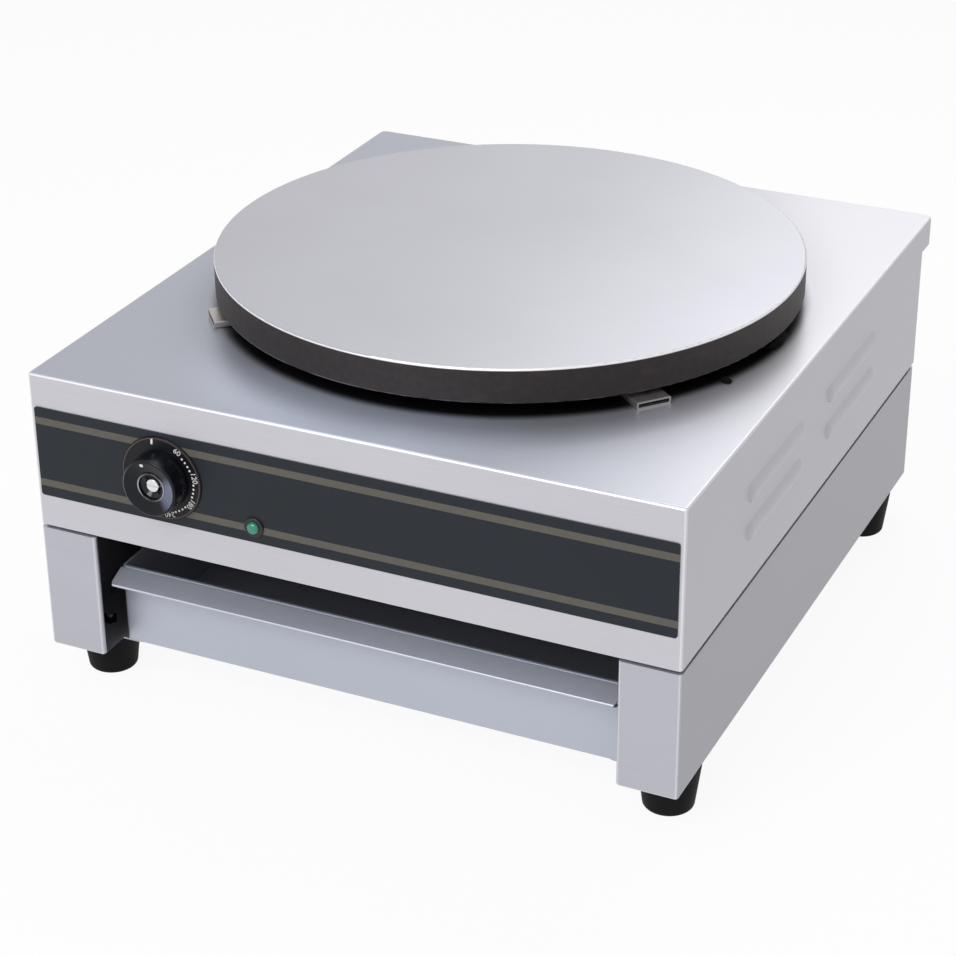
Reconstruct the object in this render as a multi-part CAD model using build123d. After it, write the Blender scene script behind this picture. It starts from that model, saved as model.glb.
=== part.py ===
from build123d import *

import os
from math import asin, atan2, cos, degrees, radians, sin, sqrt

# Electric crepe maker: a folded stainless housing that carries a round
# griddle plate, on an open base with a sliding drip tray.
# Millimetres. +X is the machine's right, +Y its back and +Z up. The origin is
# at the centre of the footprint, on the surface the feet stand on.

# ---------------------------------------------------------------- sheet metal
SHEET = 1.0  # stainless sheet of the housing, base and tray
FOLD_R = 2.0  # outside radius of a folded edge
CORNER_R = 2.5  # outside radius of an upright corner
EDGE_R = 0.8  # outside radius of the edges along the seam
SLACK = 0.3  # gap between sheets that lie inside one another

# ------------------------------------------------------------------- overall
BODY_W = 450.0  # width of the housing and the base
BODY_D = 478.0  # depth from the front face to the rear panel
LIP_D = 22.0  # overhang of the top panel behind the rear panel
LIP_H = 21.0  # height of the lip folded down from it
LIP_CORNER_R = 5.0  # rounding of the lip's upright corners
FOOT_H = 32.0  # height of the rubber feet
BASE_H = 89.5  # height of the open base
SEAM = 2.0  # shadow gap between the base and the housing
HOUSING_H = 109.5  # height of the upper housing
AIR_GAP = 8.5  # gap between the housing and the griddle plate

# ------------------------------------------------------------- griddle plate
PLATE_D = 400.0
PLATE_H = 23.5  # height of the rim
PLATE_SLAB = 11.0  # thickness of the cooking slab
RIM_W = 8.0  # width of the rim's skirt
RIM_EDGE_R = 1.2  # rounding of the rim's edges
COLLAR_H = 6.0  # collar turned down round that opening

# ------------------------------------------------------- supports and studs
BRACKET_ANGLE = 40.0  # arms of the support brackets from the X axis
BRACKET_W = 24.0
BRACKET_H = 5.0
BRACKET_OVERHANG = 6.0  # how far a bracket shows beyond the rim
BRACKET_SHEET = 1.2
STUD_SETIN = 22.0  # plate studs from the edge of the plate
STUD_D = 6.0
STUD_LENGTH = 38.0
STUD_DEPTH = 9.0  # how far a stud goes into its boss
BOSS_D = 22.0
STUD_NUT_AF = 10.0  # across flats
STUD_NUT_H = 5.0
WASHER_D = 14.0
WASHER_H = 1.5

# ------------------------------------------------------------- heating pack
ELEMENT_D = 8.0  # diameter of the tubular elements
LOOP_SETIN = 70.0  # outer loop from the edge of the plate
LOOP_SPACING = 45.0  # inner loop inside the outer one
ELEMENT_BEND_R = 14.0
ELEMENT_LEG_GAP = 36.0  # between the two legs of a loop
ELEMENT_DROP = 48.0  # length of the legs below the loop
LEG_HOLE_D = 11.0  # clearance hole for a leg
TERMINAL_D = 9.0  # ceramic bead on a leg
TERMINAL_H = 7.0
PIN_D = 3.0
PIN_LENGTH = 9.0
CLAMP_DISC_LAP = 10.0  # clamp disc beyond the outer loop
CLAMP_DISC_T = 1.5
MAT_T = 20.0  # insulation under the clamp disc
MAT_LAP = 8.0  # insulation beyond the outer loop
PAN_SHEET = 0.8
PAN_WALL_H = 15.0
CLAMP_STUD_D = 8.0
CLAMP_STUD_DEPTH = 12.0
CLAMP_STUD_END = 16.0  # length of stud left below the pan
CLAMP_NUT_AF = 13.0
CLAMP_NUT_H = 6.5

# ------------------------------------------------------------ control panel
OVERLAY_MARGIN = 3.5  # overlay to each side of the front
OVERLAY_H = 63.5
OVERLAY_T = 0.8
OVERLAY_R = 2.0
DIAL_INSET = 97.0  # knob axis from the left side
DIAL_D = 58.0
DIAL_T = 1.2
KNOB_D = 40.0
KNOB_FACE_D = 38.6
KNOB_H = 15.0
KNOB_LIFT = 0.4  # running gap between knob and dial
KNOB_WALL = 1.8
KNOB_RIM = 1.6  # flat rim round the face
KNOB_EDGE_R = 1.2
KNOB_DISH = 2.6  # how far the face falls from its rim
RECESS_D = 17.0  # recess in the middle of the face
RECESS_H = 4.0
HUB_D = 13.0
HUB_SETBACK = 1.0  # the hub stops this short of the skirt
INSERT_RIM = 1.1
BUTTON_D = 8.8  # slotted button in the middle of the insert
SHAFT_D = 6.0
SHAFT_FLAT = 1.5  # depth of the flat on the shaft
SHAFT_HOLE_D = 9.0
RUN_FIT = 0.05  # radial clearance of a shaft or screw in its hole

LAMP_SPACING = 65.7  # lamp axis from the knob axis
LAMP_DROP = 20.7  # lamp axis below the middle of the panel
LAMP_D = 10.4
LAMP_COLLAR_D = 13.6
LAMP_COLLAR_T = 1.4
LAMP_DOME_H = 2.6
LAMP_BODY_L = 19.0

# --------------------------------------------------------------- thermostat
STAT_W = 44.0
STAT_H = 36.0
STAT_D = 27.0
STAT_R = 4.0
STAT_PLATE_W = 40.0
STAT_PLATE_H = 22.0
STAT_PLATE_T = 1.2
STAT_SCREW_PITCH = 28.0
STAT_SCREW_D = 4.0
STAT_SCREW_HEAD_D = 6.6
STAT_SCREW_HEAD_H = 1.8
STAT_SCREW_L = 6.0
SHAFT_DEPTH = 12.0  # how far the shaft goes into the thermostat
TAB_W = 6.3
TAB_T = 0.8
TAB_L = 9.0
TAB_PITCH = 14.0
TUBE_D = 2.2  # capillary tube
TUBE_BEND_R = 7.0
BULB_D = 6.0
BULB_L = 62.0
BULB_SETOUT = 12.0  # bulb axis beyond the edge of the clamp disc
BULB_ANGLE = 212.0  # where the tube rises beside the clamp disc
BULB_GAP = 3.0  # bulb to the collar of the housing's round opening

# ------------------------------------------------------------------ louvres
LOUVRE_L = 108.0
LOUVRE_H = 15.0
LOUVRE_OUT = 2.4
LOUVRE_SLOT = 4.2  # height of the slit along the lower edge
LOUVRE_PITCH_Y = 155.0
LOUVRE_PITCH_Z = 27.0
LOUVRE_DROP = 3.0  # louvres below the middle of the panel

# ------------------------------------------------------------- housing floor
RETURN_W = 12.0  # flange turned in along the housing's lower edge
SEAM_SCREW_SETIN = 7.0  # seam screws from the outside face
SEAM_SCREW_COUNT = 3  # on each side
SEAM_SCREW_MARGIN = 45.0  # first and last screw from the ends
VENT_W = 5.0
VENT_L = 46.0
VENT_COUNT = 7
VENT_PITCH = 14.0
FLOOR_VENT_X = 90.0
REAR_VENT_X = 85.0
REAR_VENT_DROP = 12.0  # rear vents below the middle of the panel
REAR_VENT_SHIFT = 56.0  # rear vents moved over, clear of the gland
GASKET_W = 10.0
GASKET_SETIN = 3.0
SCREW_D = 4.0
SCREW_HEAD_D = 7.6
SCREW_HEAD_H = 2.4
HEAD_ROUNDING = 0.6  # share of a screw head's height that is rounded
SCREW_CLEAR = 0.25  # radial clearance of a screw through sheet
NUT_AF = 7.0
NUT_H = 3.2
SCREW_SPARE = 1.5  # thread left beyond the nut
REAR_SCREW_L = 8.0
REAR_SCREW_PITCH = 38.0

# --------------------------------------------------------------------- base
LEG_W = 41.0  # width of the leg flanges
LEG_RETURN = 3.0  # lip turned in along a leg's inner edge
REAR_RETURN = 10.0  # corner of the top flange at the back, in front of which the runner ends
TOP_FLANGE_W = 25.0
RUNNER_LAP = 12.0  # how far a runner flange reaches under the tray
RUNNER_SETBACK = 25.0  # runner behind the front of the legs
RUNNER_R = 5.0
REAR_FLANGE_W = 16.0
BASE_SCREW_RISE = 25.0  # base rear screws above and below the middle
BASE_SCREW_L = 7.0

# --------------------------------------------------------------------- tray
TRAY_SIDE_GAP = 4.0  # tray to each leg
TRAY_H = 57.5
TRAY_SETBACK = 23.0  # tray front behind the front of the legs
TRAY_REAR_GAP = 14.0  # tray to the rear panel
TRAY_FOLD_R = 2.4
TRAY_FLOOR_R = 1.9  # outside radius of the fold round the floor
TRAY_LIFT = 0.3  # tray above its runners
TRAY_LIP_OUT = 17.0
TRAY_LIP_DROP = 7.5
TRAY_LIP_R = 5.0  # rounding of the lip's outer corners
TRAY_LIP_FOLD_R = 3.0
TRAY_HEM_H = 7.0  # doubled edge round the tray's rim
TRAY_HEM_T = 0.8

# --------------------------------------------------------------------- feet
FOOT_TOP_D = 41.0
FOOT_BOTTOM_D = 32.8
FOOT_EDGE_R = 3.0
FOOT_INSET_X = 20.5
FOOT_INSET_Y = 40.0
FOOT_BORE_D = 13.0
FOOT_BORE_H = 12.0
FOOT_SCREW_D = 5.0
FOOT_SCREW_HEAD_D = 9.5
FOOT_SCREW_HEAD_H = 3.2
FOOT_NUT_AF = 8.0
FOOT_NUT_H = 4.0

# --------------------------------------------------------- supply and wiring
GLAND_INSET = 75.0  # gland axis from the left side
GLAND_RISE = 30.0  # gland axis above the housing's lower edge
GLAND_BORE_D = 10.0
GLAND_THREAD_D = 16.0
GLAND_HEX_AF = 22.0
GLAND_HEX_H = 5.0
GLAND_DOME_D = 19.0
GLAND_DOME_H = 9.0
GLAND_THREAD_L = 11.0
GLAND_NUT_H = 5.0
EARTH_SPACING = 45.0  # earth stud from the gland axis
EARTH_D = 6.0
EARTH_L = 26.0
EARTH_OUT = 14.0  # stud length outside the rear panel
EARTH_NUT_AF = 10.0
EARTH_NUT_H = 5.0
BLOCK_W = 50.0
BLOCK_D = 24.0
BLOCK_H = 20.0
BLOCK_SETIN = 70.0  # terminal block in front of the rear panel
BLOCK_SHIFT = 10.0  # terminal block from the earth stud, towards the middle
BLOCK_POLES = 3
BLOCK_SCREW_D = 6.0
BLOCK_SLOT_DEPTH = 3.0
WIRE_D = 3.0
WIRE_BEND_R = 9.0

# ------------------------------------------------------------ derived levels
HALF_W = BODY_W / 2
OVERLAY_W = BODY_W - 2 * OVERLAY_MARGIN
DIAL_X = DIAL_INSET - HALF_W
LAMP_X = DIAL_X + LAMP_SPACING
GLAND_X = GLAND_INSET - HALF_W
EARTH_X = GLAND_X + EARTH_SPACING
BLOCK_X = EARTH_X + BLOCK_SHIFT
KNOB_PROUD = OVERLAY_T + DIAL_T + KNOB_LIFT + KNOB_H
TOTAL_D = KNOB_PROUD + BODY_D + LIP_D
FRONT_Y = KNOB_PROUD - TOTAL_D / 2
REAR_Y = FRONT_Y + BODY_D
LIP_Y = REAR_Y + LIP_D
MID_Y = (FRONT_Y + REAR_Y) / 2
PLATE_Y = (FRONT_Y + LIP_Y) / 2

BASE_Z = FOOT_H
BASE_TOP_Z = BASE_Z + BASE_H
HOUSING_Z = BASE_TOP_Z + SEAM
HOUSING_TOP_Z = HOUSING_Z + HOUSING_H
PANEL_Z = HOUSING_Z + HOUSING_H / 2
FLOOR_Z = HOUSING_Z + SHEET
PLATE_Z = HOUSING_TOP_Z + AIR_GAP
PLATE_TOP_Z = PLATE_Z + PLATE_H

STUD_PCD = PLATE_D - 2 * STUD_SETIN
OUTER_LOOP_D = PLATE_D - 2 * LOOP_SETIN
INNER_LOOP_D = OUTER_LOOP_D - 2 * LOOP_SPACING
CLAMP_DISC_D = OUTER_LOOP_D + 2 * CLAMP_DISC_LAP
MAT_D = OUTER_LOOP_D + 2 * MAT_LAP
TOP_OPENING_D = CLAMP_DISC_D + 2 * (BULB_SETOUT + BULB_D / 2 + BULB_GAP)

SLAB_Z = PLATE_TOP_Z - PLATE_SLAB
CLAMP_TOP_Z = SLAB_Z - ELEMENT_D
MAT_TOP_Z = CLAMP_TOP_Z - CLAMP_DISC_T
PAN_TOP_Z = MAT_TOP_Z - MAT_T
PAN_Z = PAN_TOP_Z - PAN_SHEET
LAMP_Z = PANEL_Z - LAMP_DROP
GLAND_Z = HOUSING_Z + GLAND_RISE

PANEL_IN_Y = FRONT_Y + SHEET
REAR_IN_Y = REAR_Y - SHEET
STAT_Y = PANEL_IN_Y + STAT_PLATE_T
DIAL_Y = FRONT_Y - OVERLAY_T - DIAL_T

TRAY_W = BODY_W - 2 * (LEG_W + TRAY_SIDE_GAP)
RUNNER_W = LEG_W + TRAY_SIDE_GAP + RUNNER_LAP
TRAY_Y = FRONT_Y + TRAY_SETBACK
TRAY_D = BODY_D - TRAY_SETBACK - TRAY_REAR_GAP
TRAY_Z = BASE_Z + SHEET + TRAY_LIFT
TRAY_TOP_Z = TRAY_Z + TRAY_H
TRAY_MID_Y = TRAY_Y + TRAY_D / 2

THROUGH = 5.0  # how far a cutting tool runs past the face it cuts


# -------------------------------------------------------------------- shapes
def upright(plan, z0, z1):
    """Solid that stands on a flat outline from z0 to z1."""
    return extrude(Pos(0, 0, z0) * plan, amount=z1 - z0)


def block(x0, x1, y0, y1, z0, z1):
    """Solid between two opposite corners."""
    plan = Pos((x0 + x1) / 2, (y0 + y1) / 2) * Rectangle(x1 - x0, y1 - y0)
    return upright(plan, z0, z1)


def disc(d, z0, z1, x=0.0, y=0.0):
    """Upright cylinder between two levels."""
    return upright(Pos(x, y) * Circle(d / 2), z0, z1)


def fore(sketch, y0, y1, x=0.0, z=0.0):
    """Solid drawn in the XZ plane and carried back from y0 to y1."""
    plane = Plane(origin=(x, y0, z), x_dir=(1, 0, 0), z_dir=(0, -1, 0))
    return extrude(plane * sketch, amount=y0 - y1)


def hexagon(across_flats):
    """Hexagon stated by its width across flats."""
    return RegularPolygon(across_flats / sqrt(3), 6)


def turned(points, fillets=()):
    """Solid of revolution about Z; fillets pairs a point's index with a radius."""
    outline = make_face(Polyline(*points, close=True))
    corners = [(Vector(*points[i]), r) for i, r in fillets]
    for corner, r in corners:
        vertex = min(outline.vertices(), key=lambda v: (Vector(v.X, v.Y) - corner).length)
        outline = fillet(vertex, r)
    return revolve(Plane.XZ * outline, Axis.Z)


def to_front(shape, x, y, z):
    """Stand a shape made along +Z so that its +Z points to the front."""
    return Pos(x, y, z) * Rot(90, 0, 0) * shape


def pan_screw(d, length, head_d, head_h):
    """Screw with its shank up from z = 0 and its head below."""
    head = turned([(0, 0), (head_d / 2, 0), (head_d / 2, -head_h), (0, -head_h)],
                  [(2, head_h * HEAD_ROUNDING)])
    return head + disc(d, 0, length)


def hex_nut(across_flats, height, bore):
    """Nut from z = 0 upward."""
    return upright(hexagon(across_flats), 0, height) - disc(bore, -THROUGH, height + THROUGH)


def group(shapes):
    """Separate solids kept together under one name."""
    return Compound(children=[Part(s.wrapped) for s in shapes])


def on_plate_circle(d, angle):
    """Point on a circle about the plate's axis."""
    return d / 2 * cos(radians(angle)), PLATE_Y + d / 2 * sin(radians(angle))


def tube(path, d):
    """Round bar along a path."""
    return sweep(Plane(origin=path @ 0, z_dir=path % 0) * Circle(d / 2), path=path)


def rounded_plan(x0, x1, y0, y1, front_r, rear_r):
    """Rectangle whose front and rear corners have their own rounding."""
    plan = Pos((x0 + x1) / 2, (y0 + y1) / 2) * Rectangle(x1 - x0, y1 - y0)
    corners = plan.vertices().sort_by(Axis.Y)
    plan = fillet(corners[:2], front_r)
    rear = [v for v in plan.vertices() if abs(v.Y - y1) < SHEET / 10]
    return fillet(rear, rear_r) if rear_r > 0 else plan


def slots(count, pitch, width, length):
    """Row of upright round-ended slots about the origin."""
    slot = Rot(0, 0, 90) * SlotOverall(length, width)
    return [Pos((i - (count - 1) / 2) * pitch, 0) * slot for i in range(count)]


BRACKET_ANGLES = {
    "front_right": -BRACKET_ANGLE,
    "rear_right": BRACKET_ANGLE,
    "rear_left": 180 - BRACKET_ANGLE,
    "front_left": 180 + BRACKET_ANGLE,
}
STUDS = [on_plate_circle(STUD_PCD, a) for a in BRACKET_ANGLES.values()]
SEAM_SCREW_STEP = (BODY_D - 2 * SEAM_SCREW_MARGIN) / (SEAM_SCREW_COUNT - 1)
SEAM_SCREWS = [
    (side * (HALF_W - SEAM_SCREW_SETIN), FRONT_Y + SEAM_SCREW_MARGIN + i * SEAM_SCREW_STEP)
    for side in (-1, 1)
    for i in range(SEAM_SCREW_COUNT)
]
REAR_SCREWS = [
    (side * (HALF_W - SEAM_SCREW_SETIN), PANEL_Z + i * REAR_SCREW_PITCH - LIP_H / 2)
    for side in (-1, 1)
    for i in (-1, 1)
]
BASE_SCREWS = [
    (side * (HALF_W - LEG_W / 2), BASE_Z + BASE_H / 2 + i * BASE_SCREW_RISE)
    for side in (-1, 1)
    for i in (-1, 1)
]
FEET = {
    f"{end}_{side}": (sx * (HALF_W - FOOT_INSET_X), MID_Y + sy * (BODY_D / 2 - FOOT_INSET_Y))
    for sx, side in ((-1, "left"), (1, "right"))
    for sy, end in ((-1, "front"), (1, "rear"))
}


# ------------------------------------------------------------- upper housing
def housing_form(inset, lower_z):
    """Outside of the housing and its rear lip, drawn in by an inset."""
    x = HALF_W - inset
    y0 = FRONT_Y + inset
    lip_z = HOUSING_TOP_Z - LIP_H
    cap = upright(
        rounded_plan(-x, x, y0, LIP_Y - inset, CORNER_R - inset, LIP_CORNER_R - inset),
        min(lip_z, lip_z - inset * THROUGH), HOUSING_TOP_Z - inset,
    )
    skirt = upright(
        rounded_plan(-x, x, y0, REAR_Y + inset * THROUGH, CORNER_R - inset, 0),
        lower_z, HOUSING_TOP_Z - LIP_H / 2,
    )
    form = cap + skirt
    return fillet(form.faces().sort_by(Axis.Z)[-1].edges(), FOLD_R - inset)


def louvre():
    """Hood of a louvre and the pocket behind it, on a face at x = 0 that looks to +X."""
    half = LOUVRE_H / 2
    bulge = (half ** 2 + LOUVRE_OUT ** 2) / (2 * LOUVRE_OUT)

    def swelling(r):
        outline = Rot(0, 0, 90) * SlotOverall(LOUVRE_L - LOUVRE_H + 2 * r, 2 * r)
        outline &= Pos(r, 0) * Rectangle(2 * r, 2 * LOUVRE_L)
        return Pos(LOUVRE_OUT - bulge, 0, 0) * revolve(outline, Axis.Y)

    pocket = swelling(bulge - SHEET)
    shell = swelling(bulge) - pocket
    outside = block(-SHEET / 2, LOUVRE_OUT + THROUGH, -LOUVRE_L, LOUVRE_L,
                    LOUVRE_SLOT - half, LOUVRE_H)
    return shell & outside, pocket


def top_cover():
    """Top, front and sides folded from one sheet, with louvres and rear lip."""
    shell = housing_form(0, HOUSING_Z) - housing_form(SHEET, HOUSING_Z - THROUGH)
    inner_x = HALF_W - SHEET / 2
    flange = rounded_plan(-inner_x, inner_x, FRONT_Y + SHEET / 2, REAR_Y - SHEET - SLACK,
                          CORNER_R - SHEET / 2, 0)
    flange -= Pos(0, MID_Y + RETURN_W) * Rectangle(2 * (HALF_W - SHEET - RETURN_W), BODY_D)
    shell += upright(flange, HOUSING_Z, FLOOR_Z)
    seam_edges = [
        e for e in shell.edges()
        if abs(e.center().Z - HOUSING_Z) < RUN_FIT and e.length > CORNER_R
        and (abs(e.center().X) > HALF_W - RUN_FIT or e.center().Y < FRONT_Y + RUN_FIT)]
    shell = fillet(seam_edges, EDGE_R)
    ear_y = REAR_IN_Y - SHEET
    for side in (-1, 1):
        x = sorted((side * inner_x, side * (HALF_W - SHEET - RETURN_W)))
        shell += block(*x, ear_y, REAR_IN_Y, HOUSING_Z + SHEET, HOUSING_TOP_Z - LIP_H)
    hood, pocket = louvre()
    for y in (-0.5, 0.5):
        for z in (-0.5, 0.5):
            place = Pos(HALF_W, MID_Y + y * LOUVRE_PITCH_Y,
                        PANEL_Z - LOUVRE_DROP + z * LOUVRE_PITCH_Z)
            for flip in (False, True):
                here_pocket = place * pocket
                here_hood = place * hood
                if flip:
                    here_pocket = mirror(here_pocket, about=Plane.YZ)
                    here_hood = mirror(here_hood, about=Plane.YZ)
                shell = shell - here_pocket + here_hood
    r = TOP_OPENING_D / 2
    shell += Pos(0, PLATE_Y, 0) * turned([
        (r, HOUSING_TOP_Z - SHEET / 2), (r, HOUSING_TOP_Z - COLLAR_H),
        (r + SHEET, HOUSING_TOP_Z - COLLAR_H), (r + SHEET, HOUSING_TOP_Z - SHEET / 2)])
    shell -= disc(TOP_OPENING_D, HOUSING_TOP_Z - COLLAR_H - THROUGH,
                  HOUSING_TOP_Z + THROUGH, 0, PLATE_Y)
    hole = STUD_D + 2 * SCREW_CLEAR
    for x, y in STUDS:
        shell -= disc(hole, HOUSING_TOP_Z - THROUGH, HOUSING_TOP_Z + THROUGH, x, y)
    for x, y in SEAM_SCREWS:
        shell -= disc(SCREW_D + 2 * SCREW_CLEAR, HOUSING_Z - THROUGH, FLOOR_Z + SHEET / 2, x, y)
    for x, z in REAR_SCREWS:
        shell -= fore(Circle(SCREW_D / 2 + RUN_FIT), ear_y - THROUGH, REAR_Y, x, z)
    return shell - panel_holes(FRONT_Y - SHEET, FRONT_Y + 2 * SHEET)


def panel_holes(y0, y1):
    """Holes through the front for the shaft, its screws and the lamp."""
    cuts = fore(Circle(SHAFT_HOLE_D / 2), y0, y1, DIAL_X, PANEL_Z)
    for side in (-0.5, 0.5):
        cuts += fore(Circle(STAT_SCREW_D / 2 + SCREW_CLEAR), y0, y1,
                     DIAL_X + side * STAT_SCREW_PITCH, PANEL_Z)
    return cuts + fore(Circle(LAMP_D / 2), y0, y1, LAMP_X, LAMP_Z)


def floor_pan():
    """Floor of the housing, on its turned-in flange, with cooling slots."""
    x = HALF_W - SHEET - SLACK
    pan = upright(
        rounded_plan(-x, x, PANEL_IN_Y + SLACK, REAR_IN_Y - 2 * SHEET - SLACK, CORNER_R, CORNER_R),
        FLOOR_Z, FLOOR_Z + SHEET)
    for side in (-1, 1):
        for slot in slots(VENT_COUNT, VENT_PITCH, VENT_W, VENT_L):
            pan -= upright(Pos(side * FLOOR_VENT_X, MID_Y) * slot,
                           FLOOR_Z - THROUGH, FLOOR_Z + THROUGH)
    for x, y in SEAM_SCREWS:
        pan -= disc(SCREW_D + 2 * SCREW_CLEAR, FLOOR_Z - THROUGH, FLOOR_Z + THROUGH, x, y)
    return pan


def rear_panel():
    """Back of the housing between its sides, with a foot flange and cooling slots."""
    half = HALF_W - SHEET - SLACK
    top = HOUSING_TOP_Z - SHEET - SLACK
    panel = block(-half, half, REAR_IN_Y, REAR_Y, HOUSING_Z, top)
    foot = half - RETURN_W - SLACK
    panel += block(-foot, foot, REAR_IN_Y - RETURN_W, REAR_Y - SHEET / 2, HOUSING_Z, FLOOR_Z)
    panel = fillet(
        [e for e in panel.edges().filter_by(Axis.X) if abs(e.center().Y - REAR_Y) < RUN_FIT
         and e.center().Z < PANEL_Z], EDGE_R)
    for side in (-1, 1):
        for slot in slots(VENT_COUNT, VENT_PITCH, VENT_W, VENT_L):
            panel -= fore(slot, REAR_IN_Y - THROUGH, REAR_Y + THROUGH,
                          side * REAR_VENT_X + REAR_VENT_SHIFT, PANEL_Z - REAR_VENT_DROP)
    panel -= fore(Circle(GLAND_THREAD_D / 2 + SCREW_CLEAR), REAR_IN_Y - THROUGH,
                  REAR_Y + THROUGH, GLAND_X, GLAND_Z)
    panel -= fore(Circle(EARTH_D / 2 + SCREW_CLEAR), REAR_IN_Y - THROUGH,
                  REAR_Y + THROUGH, EARTH_X, GLAND_Z)
    for x, z in REAR_SCREWS:
        panel -= fore(Circle(SCREW_D / 2 + SCREW_CLEAR), REAR_IN_Y - THROUGH,
                      REAR_Y + THROUGH, x, z)
    return panel


def seam_gasket():
    """Strips between the base's flanges and the housing."""
    outer = HALF_W - GASKET_SETIN
    y0, y1 = FRONT_Y + GASKET_SETIN, REAR_Y - GASKET_SETIN
    strips = []
    for side in (-1, 1):
        x = sorted((side * outer, side * (outer - GASKET_W)))
        strip = block(*x, y0, y1, BASE_TOP_Z, HOUSING_Z)
        for sx, sy in SEAM_SCREWS:
            strip -= disc(SCREW_D + 2 * SCREW_CLEAR, BASE_TOP_Z - THROUGH,
                          HOUSING_Z + THROUGH, sx, sy)
        strips.append(strip)
    half = outer - GASKET_W - GASKET_SETIN - REAR_RETURN
    strips.append(block(-half, half, y1 - GASKET_W, y1, BASE_TOP_Z, HOUSING_Z))
    return group(strips)


# ------------------------------------------------------------- control panel
def control_overlay():
    """Dark panel on the front, with rounded corners."""
    sheet = fore(RectangleRounded(OVERLAY_W, OVERLAY_H, OVERLAY_R),
                 FRONT_Y - OVERLAY_T, FRONT_Y, 0, PANEL_Z)
    return sheet - panel_holes(FRONT_Y - THROUGH, FRONT_Y + THROUGH)


def dial_plate():
    """Round plate that carries the knob's scale."""
    r = DIAL_D / 2
    plate = turned([(SHAFT_HOLE_D / 2, 0), (r, 0), (r, DIAL_T), (SHAFT_HOLE_D / 2, DIAL_T)],
                   [(2, DIAL_T / 2)])
    for side in (-0.5, 0.5):
        plate -= disc(STAT_SCREW_D + 2 * SCREW_CLEAR, -THROUGH, THROUGH, side * STAT_SCREW_PITCH)
    return to_front(plate, DIAL_X, FRONT_Y - OVERLAY_T, PANEL_Z)


def thermostat_knob():
    """Moulded knob: drawn-in skirt, dished face and a hub with a flat-sided bore."""
    r, face = KNOB_D / 2, KNOB_FACE_D / 2
    recess = RECESS_D / 2
    floor_h = KNOB_H - KNOB_DISH - RECESS_H
    knob = turned(
        [(0, 0), (r, 0), (face, KNOB_H), (face - KNOB_RIM, KNOB_H),
         (recess + KNOB_WALL, KNOB_H - KNOB_DISH), (recess, KNOB_H - KNOB_DISH),
         (recess, floor_h), (0, floor_h)],
        [(2, KNOB_EDGE_R), (4, KNOB_EDGE_R)])
    roof = floor_h - KNOB_WALL
    hollow = turned([(HUB_D / 2, -THROUGH), (r - KNOB_WALL, -THROUGH),
                     (face - KNOB_WALL, roof), (HUB_D / 2, roof)], [(2, KNOB_WALL)])
    knob -= hollow
    knob -= disc(HUB_D + KNOB_WALL, -THROUGH, HUB_SETBACK)
    rib_z = STAT_SCREW_HEAD_H + 2 * KNOB_LIFT + HUB_SETBACK
    span = KNOB_D - 2 * KNOB_WALL + HUB_SETBACK
    for turn in (0, 90):
        rib = Rot(0, 0, turn) * (Rectangle(span, KNOB_WALL / 2) - Circle(HUB_D / 2 - KNOB_WALL))
        knob += upright(rib, rib_z, roof + KNOB_WALL / 2)
    bore = Circle(SHAFT_D / 2 + RUN_FIT)
    flat_y = SHAFT_D / 2 - SHAFT_FLAT + RUN_FIT
    bore &= Pos(0, flat_y - SHAFT_D) * Rectangle(2 * SHAFT_D, 2 * SHAFT_D)
    knob -= upright(bore, -THROUGH, shaft_top())
    return to_front(knob, DIAL_X, DIAL_Y - KNOB_LIFT, PANEL_Z)


def shaft_top():
    """End of the shaft inside the knob, from the knob's skirt."""
    return KNOB_H - KNOB_DISH - RECESS_H - KNOB_WALL


def knob_insert():
    """Bright dished cap in the knob's recess, with a slotted button."""
    r = RECESS_D / 2 - RUN_FIT
    floor_h = KNOB_H - KNOB_DISH - RECESS_H
    button = BUTTON_D / 2
    cap = turned(
        [(0, floor_h), (r, floor_h), (r, floor_h + RECESS_H - INSERT_RIM),
         (r - INSERT_RIM, floor_h + RECESS_H - INSERT_RIM), (button, floor_h + INSERT_RIM / 2),
         (button, floor_h + RECESS_H / 2), (0, floor_h + RECESS_H / 2)],
        [(5, INSERT_RIM / 3)])
    cap -= upright(Rectangle(2 * button, INSERT_RIM), floor_h + RECESS_H / 4, floor_h + RECESS_H)
    return to_front(cap, DIAL_X, DIAL_Y - KNOB_LIFT, PANEL_Z)


def thermostat_shaft():
    """Round shaft with a flat where it drives the knob."""
    knob_y = DIAL_Y - KNOB_LIFT
    length = STAT_Y + SHAFT_DEPTH - knob_y + shaft_top()
    shaft = disc(SHAFT_D, 0, length)
    flat_l = shaft_top() + KNOB_LIFT
    shaft -= block(-SHAFT_D, SHAFT_D, SHAFT_D / 2 - SHAFT_FLAT, SHAFT_D,
                   length - flat_l, length + THROUGH)
    shaft = chamfer(shaft.faces().sort_by(Axis.Z)[0].edges(), SHAFT_FLAT / 3)
    return to_front(shaft, DIAL_X, STAT_Y + SHAFT_DEPTH, PANEL_Z)


def pilot_lamp_body():
    """Collar on the panel, barrel through it and two tabs behind."""
    y0 = FRONT_Y - OVERLAY_T
    socket = LAMP_D / 2 - SHEET
    body = to_front(turned(
        [(0, -LAMP_BODY_L), (LAMP_D / 2 - RUN_FIT, -LAMP_BODY_L), (LAMP_D / 2 - RUN_FIT, 0),
         (LAMP_COLLAR_D / 2, 0), (LAMP_COLLAR_D / 2, LAMP_COLLAR_T), (socket, LAMP_COLLAR_T),
         (socket, -LAMP_COLLAR_T), (0, -LAMP_COLLAR_T)],
        [(4, LAMP_COLLAR_T / 2)]), LAMP_X, y0, LAMP_Z)
    for side in (-1, 1):
        body += fore(Rectangle(TAB_T, TAB_W / 2), y0 + LAMP_BODY_L - SHEET,
                     y0 + LAMP_BODY_L + TAB_L, LAMP_X + side * LAMP_D / 4, LAMP_Z)
    return body


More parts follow.
